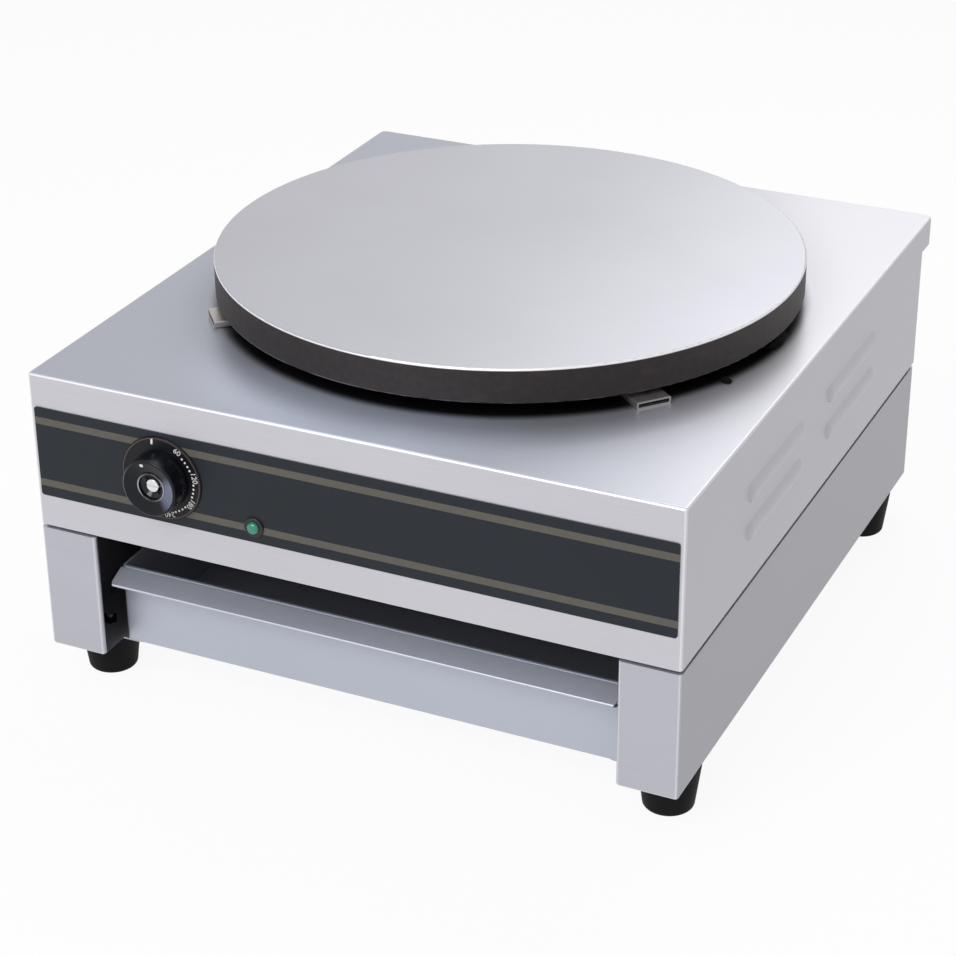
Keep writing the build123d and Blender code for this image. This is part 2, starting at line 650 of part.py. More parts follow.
def pilot_lamp_lens():
    """Domed lens seated in the collar."""
    r = LAMP_D / 2 - SHEET - RUN_FIT
    top = LAMP_COLLAR_T + LAMP_DOME_H
    barrel = turned([(0, -LAMP_COLLAR_T), (r, -LAMP_COLLAR_T), (r, top), (0, top)],
                    [(2, LAMP_DOME_H)])
    return to_front(barrel, LAMP_X, FRONT_Y - OVERLAY_T, LAMP_Z)


# ---------------------------------------------------------------- thermostat
def thermostat_plate():
    """Steel plate that holds the thermostat to the front."""
    plate = RectangleRounded(STAT_PLATE_W, STAT_PLATE_H, STAT_R) - Circle(SHAFT_HOLE_D / 2)
    for side in (-0.5, 0.5):
        plate -= Pos(side * STAT_SCREW_PITCH, 0) * Circle(STAT_SCREW_D / 2 + RUN_FIT)
    return fore(plate, PANEL_IN_Y, STAT_Y, DIAL_X, PANEL_Z)


def thermostat_body():
    """Switch block with a bore for its shaft and push-on tabs at the back."""
    body = fore(RectangleRounded(STAT_W, STAT_H, STAT_R), STAT_Y, STAT_Y + STAT_D,
                DIAL_X, PANEL_Z)
    body -= fore(Circle(SHAFT_D / 2 + RUN_FIT), STAT_Y - THROUGH,
                 STAT_Y + SHAFT_DEPTH + RUN_FIT, DIAL_X, PANEL_Z)
    for side in (-0.5, 0.5):
        body -= fore(Circle(STAT_SCREW_D / 2 + 2 * SCREW_CLEAR), STAT_Y - THROUGH,
                     STAT_Y + STAT_SCREW_L, DIAL_X + side * STAT_SCREW_PITCH, PANEL_Z)
    back = STAT_Y + STAT_D
    body = chamfer(body.faces().sort_by(Axis.Y)[-1].edges(), SHEET)
    for x in (-1, 0, 1):
        body += fore(Rectangle(TAB_T, TAB_W), back - SHEET, back + TAB_L,
                     DIAL_X + x * TAB_PITCH, PANEL_Z)
    return body


def thermostat_screws():
    """Screws through the dial plate into the thermostat plate."""
    screw = pan_screw(STAT_SCREW_D, STAT_SCREW_L, STAT_SCREW_HEAD_D, STAT_SCREW_HEAD_H)
    return group([
        Pos(DIAL_X + side * STAT_SCREW_PITCH, DIAL_Y, PANEL_Z) * Rot(-90, 0, 0) * screw
        for side in (-0.5, 0.5)])


def sensor_tube():
    """Capillary from the thermostat up through the opening to its bulb under the slab."""
    r = CLAMP_DISC_D / 2 + BULB_SETOUT
    bulb_z = SLAB_Z - BULB_D / 2
    rise_x, rise_y = on_plate_circle(2 * r, BULB_ANGLE)
    start = Vector(DIAL_X, STAT_Y + STAT_D / 2, PANEL_Z + STAT_H / 2)
    shelf_z = HOUSING_TOP_Z - COLLAR_H - TUBE_BEND_R - TUBE_D
    along = Vector(-sin(radians(BULB_ANGLE)), cos(radians(BULB_ANGLE)), 0)
    rise = Vector(rise_x, rise_y, 0)
    path = FilletPolyline(
        start, Vector(DIAL_X, start.Y, shelf_z), Vector(rise_x, rise_y, shelf_z),
        rise + Vector(0, 0, bulb_z), rise + along * 2 * TUBE_BEND_R + Vector(0, 0, bulb_z),
        radius=TUBE_BEND_R)
    capillary = tube(path, TUBE_D)
    tip = path @ 1
    bulb = extrude(Plane(origin=tip, z_dir=along) * Circle(BULB_D / 2), amount=BULB_L)
    return capillary + fillet(bulb.edges().filter_by(GeomType.CIRCLE), BULB_D / 4)


# ------------------------------------------------------------- griddle plate
def griddle_plate():
    """Cast plate: slab with a skirt round its rim and bosses for studs."""
    r = PLATE_D / 2
    plate = turned(
        [(0, SLAB_Z), (r - RIM_W, SLAB_Z), (r - RIM_W, PLATE_Z), (r, PLATE_Z),
         (r, PLATE_TOP_Z), (0, PLATE_TOP_Z)],
        [(1, RIM_W / 4), (3, RIM_EDGE_R), (4, RIM_EDGE_R)])
    plate = Pos(0, PLATE_Y, 0) * plate
    for x, y in STUDS:
        plate += disc(BOSS_D, PLATE_Z, SLAB_Z + SHEET, x, y)
        plate -= disc(STUD_D + 2 * RUN_FIT, PLATE_Z - THROUGH, PLATE_Z + STUD_DEPTH, x, y)
    plate += disc(BOSS_D, CLAMP_TOP_Z, SLAB_Z + SHEET, 0, PLATE_Y)
    plate -= disc(CLAMP_STUD_D + 2 * RUN_FIT, CLAMP_TOP_Z - THROUGH,
                  CLAMP_TOP_Z + CLAMP_STUD_DEPTH, 0, PLATE_Y)
    return plate


def support_bracket(angle):
    """Flat tube on the housing with a collar up to the plate's boss, clamped by its stud."""
    outer = PLATE_D / 2 + BRACKET_OVERHANG
    inner = STUD_PCD / 2 - BOSS_D / 2
    t = BRACKET_SHEET
    outline = RectangleRounded(BRACKET_W, BRACKET_H, t)
    outline -= RectangleRounded(BRACKET_W - 2 * t, BRACKET_H - 2 * t, t / 3)
    arm = extrude(Plane.YZ * Pos(0, BRACKET_H / 2) * outline, amount=outer - inner)
    stud_x = STUD_PCD / 2 - inner
    arm += disc(WASHER_D, BRACKET_H - t / 2, AIR_GAP, stud_x)
    arm -= disc(STUD_D + 2 * SCREW_CLEAR, -THROUGH, AIR_GAP + THROUGH, stud_x)
    return Pos(0, PLATE_Y, HOUSING_TOP_Z) * Rot(0, 0, angle) * Pos(inner, 0, 0) * arm


def plate_studs():
    """Studs from the plate's bosses down through brackets and housing."""
    low = PLATE_Z + STUD_DEPTH - STUD_LENGTH
    return group([disc(STUD_D, low, PLATE_Z + STUD_DEPTH, x, y) for x, y in STUDS])


def plate_nuts():
    """Washer and nut under the housing on each stud."""
    under = HOUSING_TOP_Z - SHEET
    bore = STUD_D + 2 * RUN_FIT
    nut = hex_nut(STUD_NUT_AF, STUD_NUT_H, bore)
    washer = disc(WASHER_D, 0, WASHER_H) - disc(bore, -THROUGH, THROUGH)
    stack = [Pos(0, 0, -WASHER_H) * washer, Pos(0, 0, -WASHER_H - STUD_NUT_H) * nut]
    return group([Pos(x, y, under) * piece for x, y in STUDS for piece in stack])


def loop_ends(loop_d):
    """End of the loop, its direction there and the top of the leg, for both sides."""
    r = loop_d / 2
    half_gap = degrees(asin((ELEMENT_LEG_GAP / 2) / r))
    bend_turn = degrees(ELEMENT_BEND_R / r)
    ends = []
    for side in (1, -1):
        angle = radians(90 - side * (half_gap + bend_turn))
        end = Vector(r * cos(angle), PLATE_Y + r * sin(angle), SLAB_Z - ELEMENT_D / 2)
        tangent = Vector(-sin(angle), cos(angle), 0) * side
        leg = end + (tangent - Vector(0, 0, 1)) * ELEMENT_BEND_R
        ends.append((end, tangent, leg))
    return ends


def heating_element(loop_d):
    """Nearly closed loop under the slab whose ends turn down into two legs."""
    (end_a, tangent_a, leg_a), (end_b, tangent_b, leg_b) = loop_ends(loop_d)

    def bend_middle(end, tangent):
        corner = end - Vector(0, 0, ELEMENT_BEND_R)
        return corner + (tangent + Vector(0, 0, 1)) * (ELEMENT_BEND_R * sqrt(0.5))

    front = Vector(0, PLATE_Y - loop_d / 2, end_a.Z)
    path = Wire([
        Line(leg_foot(leg_a), leg_a),
        ThreePointArc(leg_a, bend_middle(end_a, tangent_a), end_a),
        ThreePointArc(end_a, front, end_b),
        ThreePointArc(end_b, bend_middle(end_b, tangent_b), leg_b),
        Line(leg_b, leg_foot(leg_b)),
    ])
    return tube(path, ELEMENT_D)


def leg_foot(leg):
    """Lower end of a leg, straight below its top."""
    return Vector(leg.X, leg.Y, SLAB_Z - ELEMENT_D / 2 - ELEMENT_DROP)


LEG_ENDS = loop_ends(OUTER_LOOP_D) + loop_ends(INNER_LOOP_D)
LEG_FEET = [leg_foot(leg) for _, _, leg in LEG_ENDS]


def element_terminals():
    """Ceramic bead and pin on the end of each leg."""
    pieces = []
    for foot in LEG_FEET:
        bead = disc(TERMINAL_D, foot.Z - TERMINAL_H, foot.Z, foot.X, foot.Y)
        pin = disc(PIN_D, foot.Z - TERMINAL_H - PIN_LENGTH, foot.Z - TERMINAL_H / 2,
                   foot.X, foot.Y)
        pieces.append(bead + pin)
    return group(pieces)


def heating_pack_disc(d, z0, z1):
    """Disc of the heating pack with holes for the clamp stud and the legs."""
    layer = disc(d, z0, z1, 0, PLATE_Y)
    layer -= disc(CLAMP_STUD_D + 2 * SCREW_CLEAR, z0 - THROUGH, z1 + THROUGH, 0, PLATE_Y)
    for end, tangent, _ in LEG_ENDS:
        turn = degrees(atan2(tangent.Y, tangent.X))
        slot = SlotCenterToCenter(ELEMENT_BEND_R, LEG_HOLE_D)
        place = end + tangent * (ELEMENT_BEND_R / 2)
        layer -= upright(Pos(place.X, place.Y) * Rot(0, 0, turn) * slot,
                         z0 - THROUGH, z1 + THROUGH)
    return layer


def reflector_pan():
    """Shallow pan under the insulation."""
    inner, t = MAT_D / 2 + SLACK, PAN_SHEET
    wall = turned([(inner, PAN_TOP_Z - t / 2), (inner + t, PAN_TOP_Z - t / 2),
                   (inner + t, PAN_Z + PAN_WALL_H), (inner, PAN_Z + PAN_WALL_H)])
    return heating_pack_disc(2 * (inner + t), PAN_Z, PAN_TOP_Z) + Pos(0, PLATE_Y, 0) * wall


def clamp_stud():
    """Stud that hangs the heating pack from the plate."""
    return disc(CLAMP_STUD_D, PAN_Z - CLAMP_STUD_END, CLAMP_TOP_Z + CLAMP_STUD_DEPTH, 0, PLATE_Y)


def clamp_nut():
    """Wide washer and nut under the reflector pan."""
    bore = CLAMP_STUD_D + 2 * RUN_FIT
    washer = disc(2 * WASHER_D, -WASHER_H, 0) - disc(bore, -THROUGH, THROUGH)
    nut = Pos(0, 0, -WASHER_H - CLAMP_NUT_H) * hex_nut(CLAMP_NUT_AF, CLAMP_NUT_H, bore)
    return Pos(0, PLATE_Y, PAN_Z) * (washer + nut)


# ---------------------------------------------------------------------- base
def base_side():
    """Right side of the base: wall, leg flanges, top flange and tray runner."""
    inner_x = HALF_W - LEG_W
    plan = Pos((inner_x + HALF_W) / 2, MID_Y) * Rectangle(LEG_W, BODY_D)
    plan = fillet(plan.vertices(), CORNER_R)
    outer = upright(plan, BASE_Z, BASE_TOP_Z)
    upper, lower = outer.faces().sort_by(Axis.Z)[-1], outer.faces().sort_by(Axis.Z)[0]
    outer = fillet(upper.edges().filter_by(Axis.Y).sort_by(Axis.X)[-1], EDGE_R)
    outer = fillet(lower.edges().filter_by(Axis.Y), FOLD_R)
    hollow = Pos((inner_x + HALF_W) / 2, MID_Y) * Rectangle(LEG_W - 2 * SHEET, BODY_D - 2 * SHEET)
    hollow = fillet(hollow.vertices(), CORNER_R - SHEET)
    side = outer - upright(hollow, BASE_Z + SHEET, BASE_TOP_Z - SHEET)
    y0, y1 = FRONT_Y + LEG_RETURN, REAR_Y - REAR_RETURN
    side -= block(inner_x - SHEET, inner_x + CORNER_R, y0, REAR_IN_Y,
                  BASE_Z + SHEET, BASE_TOP_Z + SHEET)
    side -= block(inner_x - SHEET, HALF_W - TOP_FLANGE_W, y0, y1,
                  BASE_TOP_Z - 2 * SHEET, BASE_TOP_Z + SHEET)
    runner_x = HALF_W - RUNNER_W
    runner = RectangleRounded(LEG_W, BODY_D - RUNNER_SETBACK - REAR_RETURN, RUNNER_R)
    shift = (RUNNER_SETBACK - REAR_RETURN) / 2
    side += upright(Pos(runner_x + LEG_W / 2, MID_Y + shift) * runner, BASE_Z, BASE_Z + SHEET)
    for x, y in FEET.values():
        if x > 0:
            side -= disc(FOOT_SCREW_D + 2 * SCREW_CLEAR, BASE_Z - THROUGH, BASE_Z + THROUGH, x, y)
    for x, y in SEAM_SCREWS:
        if x > 0:
            side -= disc(SCREW_D + 2 * SCREW_CLEAR, BASE_TOP_Z - THROUGH,
                         BASE_TOP_Z + THROUGH, x, y)
    for x, z in BASE_SCREWS:
        if x > 0:
            side -= fore(Circle(SCREW_D / 2 + SCREW_CLEAR), REAR_IN_Y - THROUGH,
                         REAR_Y + THROUGH, x, z)
    return side


def base_rear_panel():
    """Panel across the back of the base, behind the tray, inside the rear legs."""
    half = HALF_W - SHEET - SLACK - TOP_FLANGE_W / 2
    y1 = REAR_IN_Y
    y0 = y1 - SHEET
    panel = block(-half, half, y0, y1, BASE_Z + SHEET + SLACK, BASE_TOP_Z - SHEET - SLACK)
    inner = HALF_W - LEG_W - SLACK
    panel += block(-inner, inner, y0, y1, BASE_Z + SHEET, BASE_TOP_Z)
    wide = HALF_W - RUNNER_W - SLACK
    panel += block(-inner, inner, y1 - REAR_FLANGE_W, y1, BASE_TOP_Z - SHEET, BASE_TOP_Z)
    panel += block(-wide, wide, y1 - REAR_FLANGE_W / 2, y1, BASE_Z, BASE_Z + SHEET)
    for x, z in BASE_SCREWS:
        panel -= fore(Circle(SCREW_D / 2 + RUN_FIT), y0 - THROUGH, y1 + THROUGH, x, z)
    return panel


def drip_tray():
    """Folded tray with a sloping lip to pull it by and a doubled rim."""
    plan = Pos(0, TRAY_MID_Y) * RectangleRounded(TRAY_W, TRAY_D, TRAY_FOLD_R)
    outer = upright(plan, TRAY_Z, TRAY_TOP_Z)
    outer = fillet(outer.faces().sort_by(Axis.Z)[0].edges(), TRAY_FLOOR_R)
    hollow = Pos(0, TRAY_MID_Y) * RectangleRounded(
        TRAY_W - 2 * SHEET, TRAY_D - 2 * SHEET, TRAY_FOLD_R - SHEET)
    inner = upright(hollow, TRAY_Z + SHEET, TRAY_TOP_Z + THROUGH)
    inner = fillet(inner.faces().sort_by(Axis.Z)[0].edges(), TRAY_FLOOR_R - SHEET / 2)
    tray = outer - inner
    hem = Pos(0, TRAY_MID_Y) * RectangleRounded(
        TRAY_W - SHEET, TRAY_D - SHEET, TRAY_FOLD_R - SHEET / 2)
    hem -= Pos(0, TRAY_MID_Y) * RectangleRounded(
        TRAY_W - 2 * (SHEET + TRAY_HEM_T), TRAY_D - 2 * (SHEET + TRAY_HEM_T), TRAY_FOLD_R / 3)
    tray += upright(hem, TRAY_TOP_Z - TRAY_HEM_H, TRAY_TOP_Z)
    fold_y, fold_z = TRAY_Y + SHEET / 2, TRAY_TOP_Z - SHEET / 2
    tip_y, tip_z = TRAY_Y - TRAY_LIP_OUT + SHEET, TRAY_TOP_Z - TRAY_LIP_DROP
    lip_path = FilletPolyline(
        (fold_y, fold_z - TRAY_HEM_H), (fold_y, fold_z), (tip_y, tip_z),
        (tip_y + TRAY_HEM_H, tip_z - 2 * SHEET), radius=(TRAY_LIP_FOLD_R / 2, SHEET / 2 + RUN_FIT))
    half = TRAY_W / 2
    lip = extrude(Plane.YZ * trace(lip_path, SHEET), amount=half, both=True)
    lip &= upright(rounded_plan(-half, half, tip_y - SHEET, TRAY_Y + SHEET, TRAY_LIP_R, 0),
                   TRAY_Z, TRAY_TOP_Z + SHEET)
    return tray + lip


# ---------------------------------------------------------------------- feet
def rubber_foot():
    """Tapered foot with a recess for the screw head."""
    top, bottom, bore = FOOT_TOP_D / 2, FOOT_BOTTOM_D / 2, FOOT_BORE_D / 2
    hole = FOOT_SCREW_D / 2 + SCREW_CLEAR
    return turned(
        [(hole, FOOT_H), (top, FOOT_H), (bottom, 0), (bore, 0), (bore, FOOT_BORE_H),
         (hole, FOOT_BORE_H)],
        [(1, FOOT_EDGE_R / 3), (2, FOOT_EDGE_R)])


def foot_screws():
    """Screws up through the feet and the base."""
    grip = FOOT_H - FOOT_BORE_H + SHEET + FOOT_NUT_H + SCREW_SPARE
    screw = pan_screw(FOOT_SCREW_D, grip, FOOT_SCREW_HEAD_D, FOOT_SCREW_HEAD_H)
    return group([Pos(x, y, FOOT_BORE_H) * screw for x, y in FEET.values()])


def foot_nuts():
    """Nuts on the foot screws, inside the base."""
    nut = hex_nut(FOOT_NUT_AF, FOOT_NUT_H, FOOT_SCREW_D + 2 * RUN_FIT)
    return group([Pos(x, y, BASE_Z + SHEET) * nut for x, y in FEET.values()])


# ----------------------------------------------------------------- fasteners
def seam_screws():
    """Screws from the bay up through base, gasket, flange and floor pan."""
    under = BASE_TOP_Z - SHEET
    grip = FLOOR_Z + SHEET - under + NUT_H + SCREW_SPARE
    screw = pan_screw(SCREW_D, grip, SCREW_HEAD_D, SCREW_HEAD_H)
    return group([Pos(x, y, under) * screw for x, y in SEAM_SCREWS])


def seam_nuts():
    """Nuts on the seam screws, inside the housing."""
    nut = hex_nut(NUT_AF, NUT_H, SCREW_D + 2 * RUN_FIT)
    return group([Pos(x, y, FLOOR_Z + SHEET) * nut for x, y in SEAM_SCREWS])


def rear_screws():
    """Screws that hold the rear panel to the cover."""
    screw = pan_screw(SCREW_D, REAR_SCREW_L, SCREW_HEAD_D, SCREW_HEAD_H)
    return group([Pos(x, REAR_Y, z) * Rot(90, 0, 0) * screw for x, z in REAR_SCREWS])


def base_rear_screws():
    """Screws that hold the base's rear panel to the rear legs."""
    screw = pan_screw(SCREW_D, BASE_SCREW_L, SCREW_HEAD_D, SCREW_HEAD_H)
    return group([Pos(x, REAR_Y, z) * Rot(90, 0, 0) * screw for x, z in BASE_SCREWS])


# --------------------------------------------------------- supply and wiring
def cable_gland():
    """Gland through the rear panel: hexagon and domed nut outside, thread inside."""
    bore = GLAND_BORE_D / 2
    dome_z = GLAND_HEX_H + GLAND_DOME_H
    body = turned(
        [(bore, -SHEET - GLAND_THREAD_L), (GLAND_THREAD_D / 2, -SHEET - GLAND_THREAD_L),
         (GLAND_THREAD_D / 2, GLAND_HEX_H / 2), (GLAND_DOME_D / 2, GLAND_HEX_H / 2),
         (GLAND_DOME_D / 2, dome_z), (bore, dome_z)],
        [(4, GLAND_DOME_H / 2)])
    body += upright(hexagon(GLAND_HEX_AF), 0, GLAND_HEX_H) - disc(GLAND_BORE_D, -1, dome_z)
    return Pos(GLAND_X, REAR_Y, GLAND_Z) * Rot(-90, 0, 0) * body


def gland_nut():
    """Lock nut inside the rear panel."""
    nut = hex_nut(GLAND_HEX_AF, GLAND_NUT_H, GLAND_THREAD_D + 2 * RUN_FIT)
    return Pos(GLAND_X, REAR_IN_Y, GLAND_Z) * Rot(90, 0, 0) * nut


def earth_stud():
    """Earth stud through the rear panel."""
    return fore(Circle(EARTH_D / 2), REAR_Y + EARTH_OUT - EARTH_L, REAR_Y + EARTH_OUT,
                EARTH_X, GLAND_Z)


def earth_nuts():
    """Nuts that clamp the earth stud from both sides."""
    nut = hex_nut(EARTH_NUT_AF, EARTH_NUT_H, EARTH_D + 2 * RUN_FIT)
    return group([
        Pos(EARTH_X, REAR_Y, GLAND_Z) * Rot(-90, 0, 0) * nut,
        Pos(EARTH_X, REAR_IN_Y, GLAND_Z) * Rot(90, 0, 0) * nut,
    ])


def block_place():
    """Centre of the terminal block's foot."""
    return Vector(BLOCK_X, REAR_Y - BLOCK_SETIN, FLOOR_Z + SHEET)


def pole_pitch():
    """Distance between the terminal block's poles."""
    return BLOCK_W / BLOCK_POLES


def terminal_block():
    """Ceramic block with a wire hole and a clamp screw for each pole."""
    body = upright(Rectangle(BLOCK_W, BLOCK_D), 0, BLOCK_H)
    body = chamfer(body.faces().sort_by(Axis.Z)[-1].edges().filter_by(Axis.X), 2 * SHEET)
    for i in range(BLOCK_POLES):
        x = (i - (BLOCK_POLES - 1) / 2) * pole_pitch()
        body -= fore(Circle(WIRE_D / 2 + RUN_FIT), -BLOCK_D / 2 - THROUGH,
                     -BLOCK_D / 2 + 2 * BLOCK_SLOT_DEPTH, x, BLOCK_H / 2)
        body -= disc(BLOCK_SCREW_D, BLOCK_H - BLOCK_SLOT_DEPTH, BLOCK_H + THROUGH, x)
    place = block_place()
    return Pos(place.X, place.Y, place.Z) * body


def wiring():
    """Leads from the terminal block to the thermostat, the elements and the lamp."""
    place = block_place()
    wire_y = place.Y - BLOCK_D / 2 + BLOCK_SLOT_DEPTH
    wire_z = place.Z + BLOCK_H / 2
    poles = [place.X + (i - (BLOCK_POLES - 1) / 2) * pole_pitch() for i in range(BLOCK_POLES)]
    tab_y = STAT_Y + STAT_D + TAB_L
    bead_z = LEG_FEET[0].Z - TERMINAL_H - PIN_LENGTH
    outer = sorted(LEG_FEET[:2], key=lambda foot: foot.X)[0]
    inner = sorted(LEG_FEET[2:], key=lambda foot: foot.X)[0]
    step = 2 * WIRE_BEND_R + WIRE_D
    stat = FilletPolyline(
        (poles[0], wire_y, wire_z), (poles[0], tab_y + 2 * step, wire_z),
        (DIAL_X - TAB_PITCH, tab_y + step, PANEL_Z), (DIAL_X - TAB_PITCH, tab_y, PANEL_Z),
        radius=WIRE_BEND_R)
    first = FilletPolyline(
        (poles[1], wire_y, wire_z), (poles[1], outer.Y - step, wire_z),
        (outer.X, outer.Y - step, wire_z), (outer.X, outer.Y, wire_z + step),
        (outer.X, outer.Y, bead_z), radius=WIRE_BEND_R)
    low_z = bead_z - step - WIRE_BEND_R
    second = FilletPolyline(
        (DIAL_X + TAB_PITCH, tab_y, PANEL_Z), (DIAL_X + TAB_PITCH, tab_y + step, PANEL_Z),
        (inner.X, inner.Y - step, low_z), (inner.X, inner.Y, low_z),
        (inner.X, inner.Y, bead_z), radius=WIRE_BEND_R)
    lamp_y = FRONT_Y - OVERLAY_T + LAMP_BODY_L + TAB_L
    lamp = FilletPolyline(
        (DIAL_X, tab_y, PANEL_Z), (DIAL_X, tab_y + step, PANEL_Z),
        (LAMP_X - LAMP_D / 4, tab_y + step, LAMP_Z), (LAMP_X - LAMP_D / 4, lamp_y, LAMP_Z),
        radius=WIRE_BEND_R)
    return group([tube(path, WIRE_D) for path in (stat, first, second, lamp)])


# --------------------------------------------------------------------- build
PIECES = {
    "top_cover": top_cover,
    "floor_pan": floor_pan,
    "rear_panel": rear_panel,
    "seam_gasket": seam_gasket,
    "control_overlay": control_overlay,
    "dial_plate": dial_plate,
    "thermostat_knob": thermostat_knob,
    "knob_insert": knob_insert,
    "thermostat_shaft": thermostat_shaft,
    "thermostat_plate": thermostat_plate,
    "thermostat_body": thermostat_body,
    "thermostat_screws": thermostat_screws,
    "sensor_tube": sensor_tube,
    "pilot_lamp_body": pilot_lamp_body,
    "pilot_lamp_lens": pilot_lamp_lens,
    "griddle_plate": griddle_plate,
    "plate_studs": plate_studs,
    "plate_nuts": plate_nuts,
    "element_terminals": element_terminals,
    "reflector_pan": reflector_pan,
    "clamp_stud": clamp_stud,
    "clamp_nut": clamp_nut,
    "base_side_right": base_side,
    "base_rear_panel": base_rear_panel,
    "drip_tray": drip_tray,
    "foot_screws": foot_screws,
    "foot_nuts": foot_nuts,
    "seam_screws": seam_screws,
    "seam_nuts": seam_nuts,
    "rear_screws": rear_screws,
    "base_rear_screws": base_rear_screws,
    "cable_gland": cable_gland,
    "gland_nut": gland_nut,
    "earth_stud": earth_stud,
    "earth_nuts": earth_nuts,
    "terminal_block": terminal_block,
    "wiring": wiring,
}


def write(name, shape):
    """Write one piece to its own file."""
    export_step(shape, f"parts/{name}.step")
    print(name)


os.makedirs("parts", exist_ok=True)
for name, piece in PIECES.items():
    write(name, piece())
write("base_side_left", mirror(base_side(), about=Plane.YZ))
write("heating_element_outer", heating_element(OUTER_LOOP_D))
write("heating_element_inner", heating_element(INNER_LOOP_D))
write("clamp_disc", heating_pack_disc(CLAMP_DISC_D, MAT_TOP_Z, CLAMP_TOP_Z))
write("insulation_mat", heating_pack_disc(MAT_D, PAN_TOP_Z, MAT_TOP_Z))
for corner, angle in BRACKET_ANGLES.items():
    write(f"support_bracket_{corner}", support_bracket(angle))
for corner, (x, y) in FEET.items():
    write(f"foot_{corner}", Pos(x, y, 0) * rubber_foot())
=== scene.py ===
import logging
import math
import random
from abc import ABC, abstractmethod
from dataclasses import dataclass
from enum import Enum
from typing import Callable, ClassVar, Optional, Sequence, Union

import bmesh
import bpy
from mathutils import Matrix, Vector


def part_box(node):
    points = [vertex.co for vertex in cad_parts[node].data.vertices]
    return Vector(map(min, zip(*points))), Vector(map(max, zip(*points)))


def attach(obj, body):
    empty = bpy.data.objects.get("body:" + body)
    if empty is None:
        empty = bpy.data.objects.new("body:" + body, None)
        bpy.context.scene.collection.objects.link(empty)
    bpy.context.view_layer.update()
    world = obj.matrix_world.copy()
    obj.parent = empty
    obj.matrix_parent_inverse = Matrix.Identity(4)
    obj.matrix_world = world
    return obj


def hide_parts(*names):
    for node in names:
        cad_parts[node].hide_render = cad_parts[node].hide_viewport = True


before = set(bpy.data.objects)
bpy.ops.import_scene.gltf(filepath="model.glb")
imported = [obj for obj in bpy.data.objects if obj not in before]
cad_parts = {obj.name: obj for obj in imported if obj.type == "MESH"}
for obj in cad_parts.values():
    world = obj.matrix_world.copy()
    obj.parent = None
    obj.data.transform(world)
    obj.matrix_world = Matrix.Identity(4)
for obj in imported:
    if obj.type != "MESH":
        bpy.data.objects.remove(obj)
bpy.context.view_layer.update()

MM = 0.001  # lengths below are written in millimetres and used in metres
THREAD_DEPTH = 0.4  # of the pitch
LOG = logging.getLogger("crepe_maker")

Colour = tuple[float, float, float]
Point = tuple[float, float]
Span = tuple[float, float]  # from and to
Triple = tuple[float, float, float]


def srgb(red: int, green: int, blue: int) -> Colour:
    """Turn a display colour into a linear one.

    Args:
        red: Red from 0 to 255.
        green: Green from 0 to 255.
        blue: Blue from 0 to 255.

    Returns:
        The colour as Blender's sockets take it.
    """
    def linear(value: int) -> float:
        """Undo the display curve for one channel."""
        share = value / 255
        return share / 12.92 if share <= 0.04045 else ((share + 0.055) / 1.055) ** 2.4

    return linear(red), linear(green), linear(blue)


def shade(colour: Colour, factor: float) -> Colour:
    """Multiply a colour by a number, kept at 1 or less."""
    return tuple(min(1.0, channel * factor) for channel in colour)


# ------------------------------------------------------------------ shader maths
class Signal:
    """A value, colour or vector on its way through a material, held as a socket."""

    def __init__(self, graph: "Graph", socket: Optional[bpy.types.NodeSocket]) -> None:
        """Hold one output socket.

        Args:
            graph: The graph that the socket belongs to.
            socket: The output socket, or None after a node that ends its graph.
        """
        self.graph = graph
        self.socket = socket

    def __add__(self, other: "Number") -> "Signal":
        """Add a number or another signal."""
        return self.graph.maths("ADD", self, other)

    def __radd__(self, other: "Number") -> "Signal":
        """Add to a plain number."""
        return self.graph.maths("ADD", other, self)

    def __sub__(self, other: "Number") -> "Signal":
        """Subtract a number or another signal."""
        return self.graph.maths("SUBTRACT", self, other)

    def __rsub__(self, other: "Number") -> "Signal":
        """Subtract from a plain number."""
        return self.graph.maths("SUBTRACT", other, self)

    def __mul__(self, other: "Number") -> "Signal":
        """Multiply by a number or another signal."""
        return self.graph.maths("MULTIPLY", self, other)

    def __rmul__(self, other: "Number") -> "Signal":
        """Multiply a plain number."""
        return self.graph.maths("MULTIPLY", other, self)

    def __truediv__(self, other: "Number") -> "Signal":
        """Divide by a number or another signal."""
        return self.graph.maths("DIVIDE", self, other)

    def __pow__(self, other: "Number") -> "Signal":
        """Raise to a power."""
        return self.graph.maths("POWER", self, other)

    def __abs__(self) -> "Signal":
        """Drop the sign."""
        return self.graph.maths("ABSOLUTE", self)

    def rise(self, low: float, high: float) -> "Signal":
        """Go smoothly from 0 at the first value to 1 at the second, which may be the smaller."""
        return self.graph.node(
            "ShaderNodeMapRange", {"interpolation_type": "SMOOTHSTEP"},
            {"Value": self, "From Min": low, "From Max": high})

    def about(self, level: "Number", swing: float) -> "Signal":
        """Use noise round one half as a variation about a level."""
        return level + (self - 0.5) * swing

    def past(self, base: float, mm: Span) -> "Signal":
        """Go from 0 to 1 between two distances beyond a length, in millimetres."""
        return self.rise(base + mm[0] * MM, base + mm[1] * MM)

    def band(self, low: float, high: float, soft: float) -> "Signal":
        """Mark the stretch between two values, with soft edges."""
        return self.rise(low - soft, low + soft) * self.rise(high + soft, high - soft)


Number = Union[float, Signal]
Input = Union[float, Sequence[float], Signal]


def rgba(value: Input) -> Input:
    """Give a plain colour its alpha."""
    return value if isinstance(value, Signal) else (*value, 1.0)


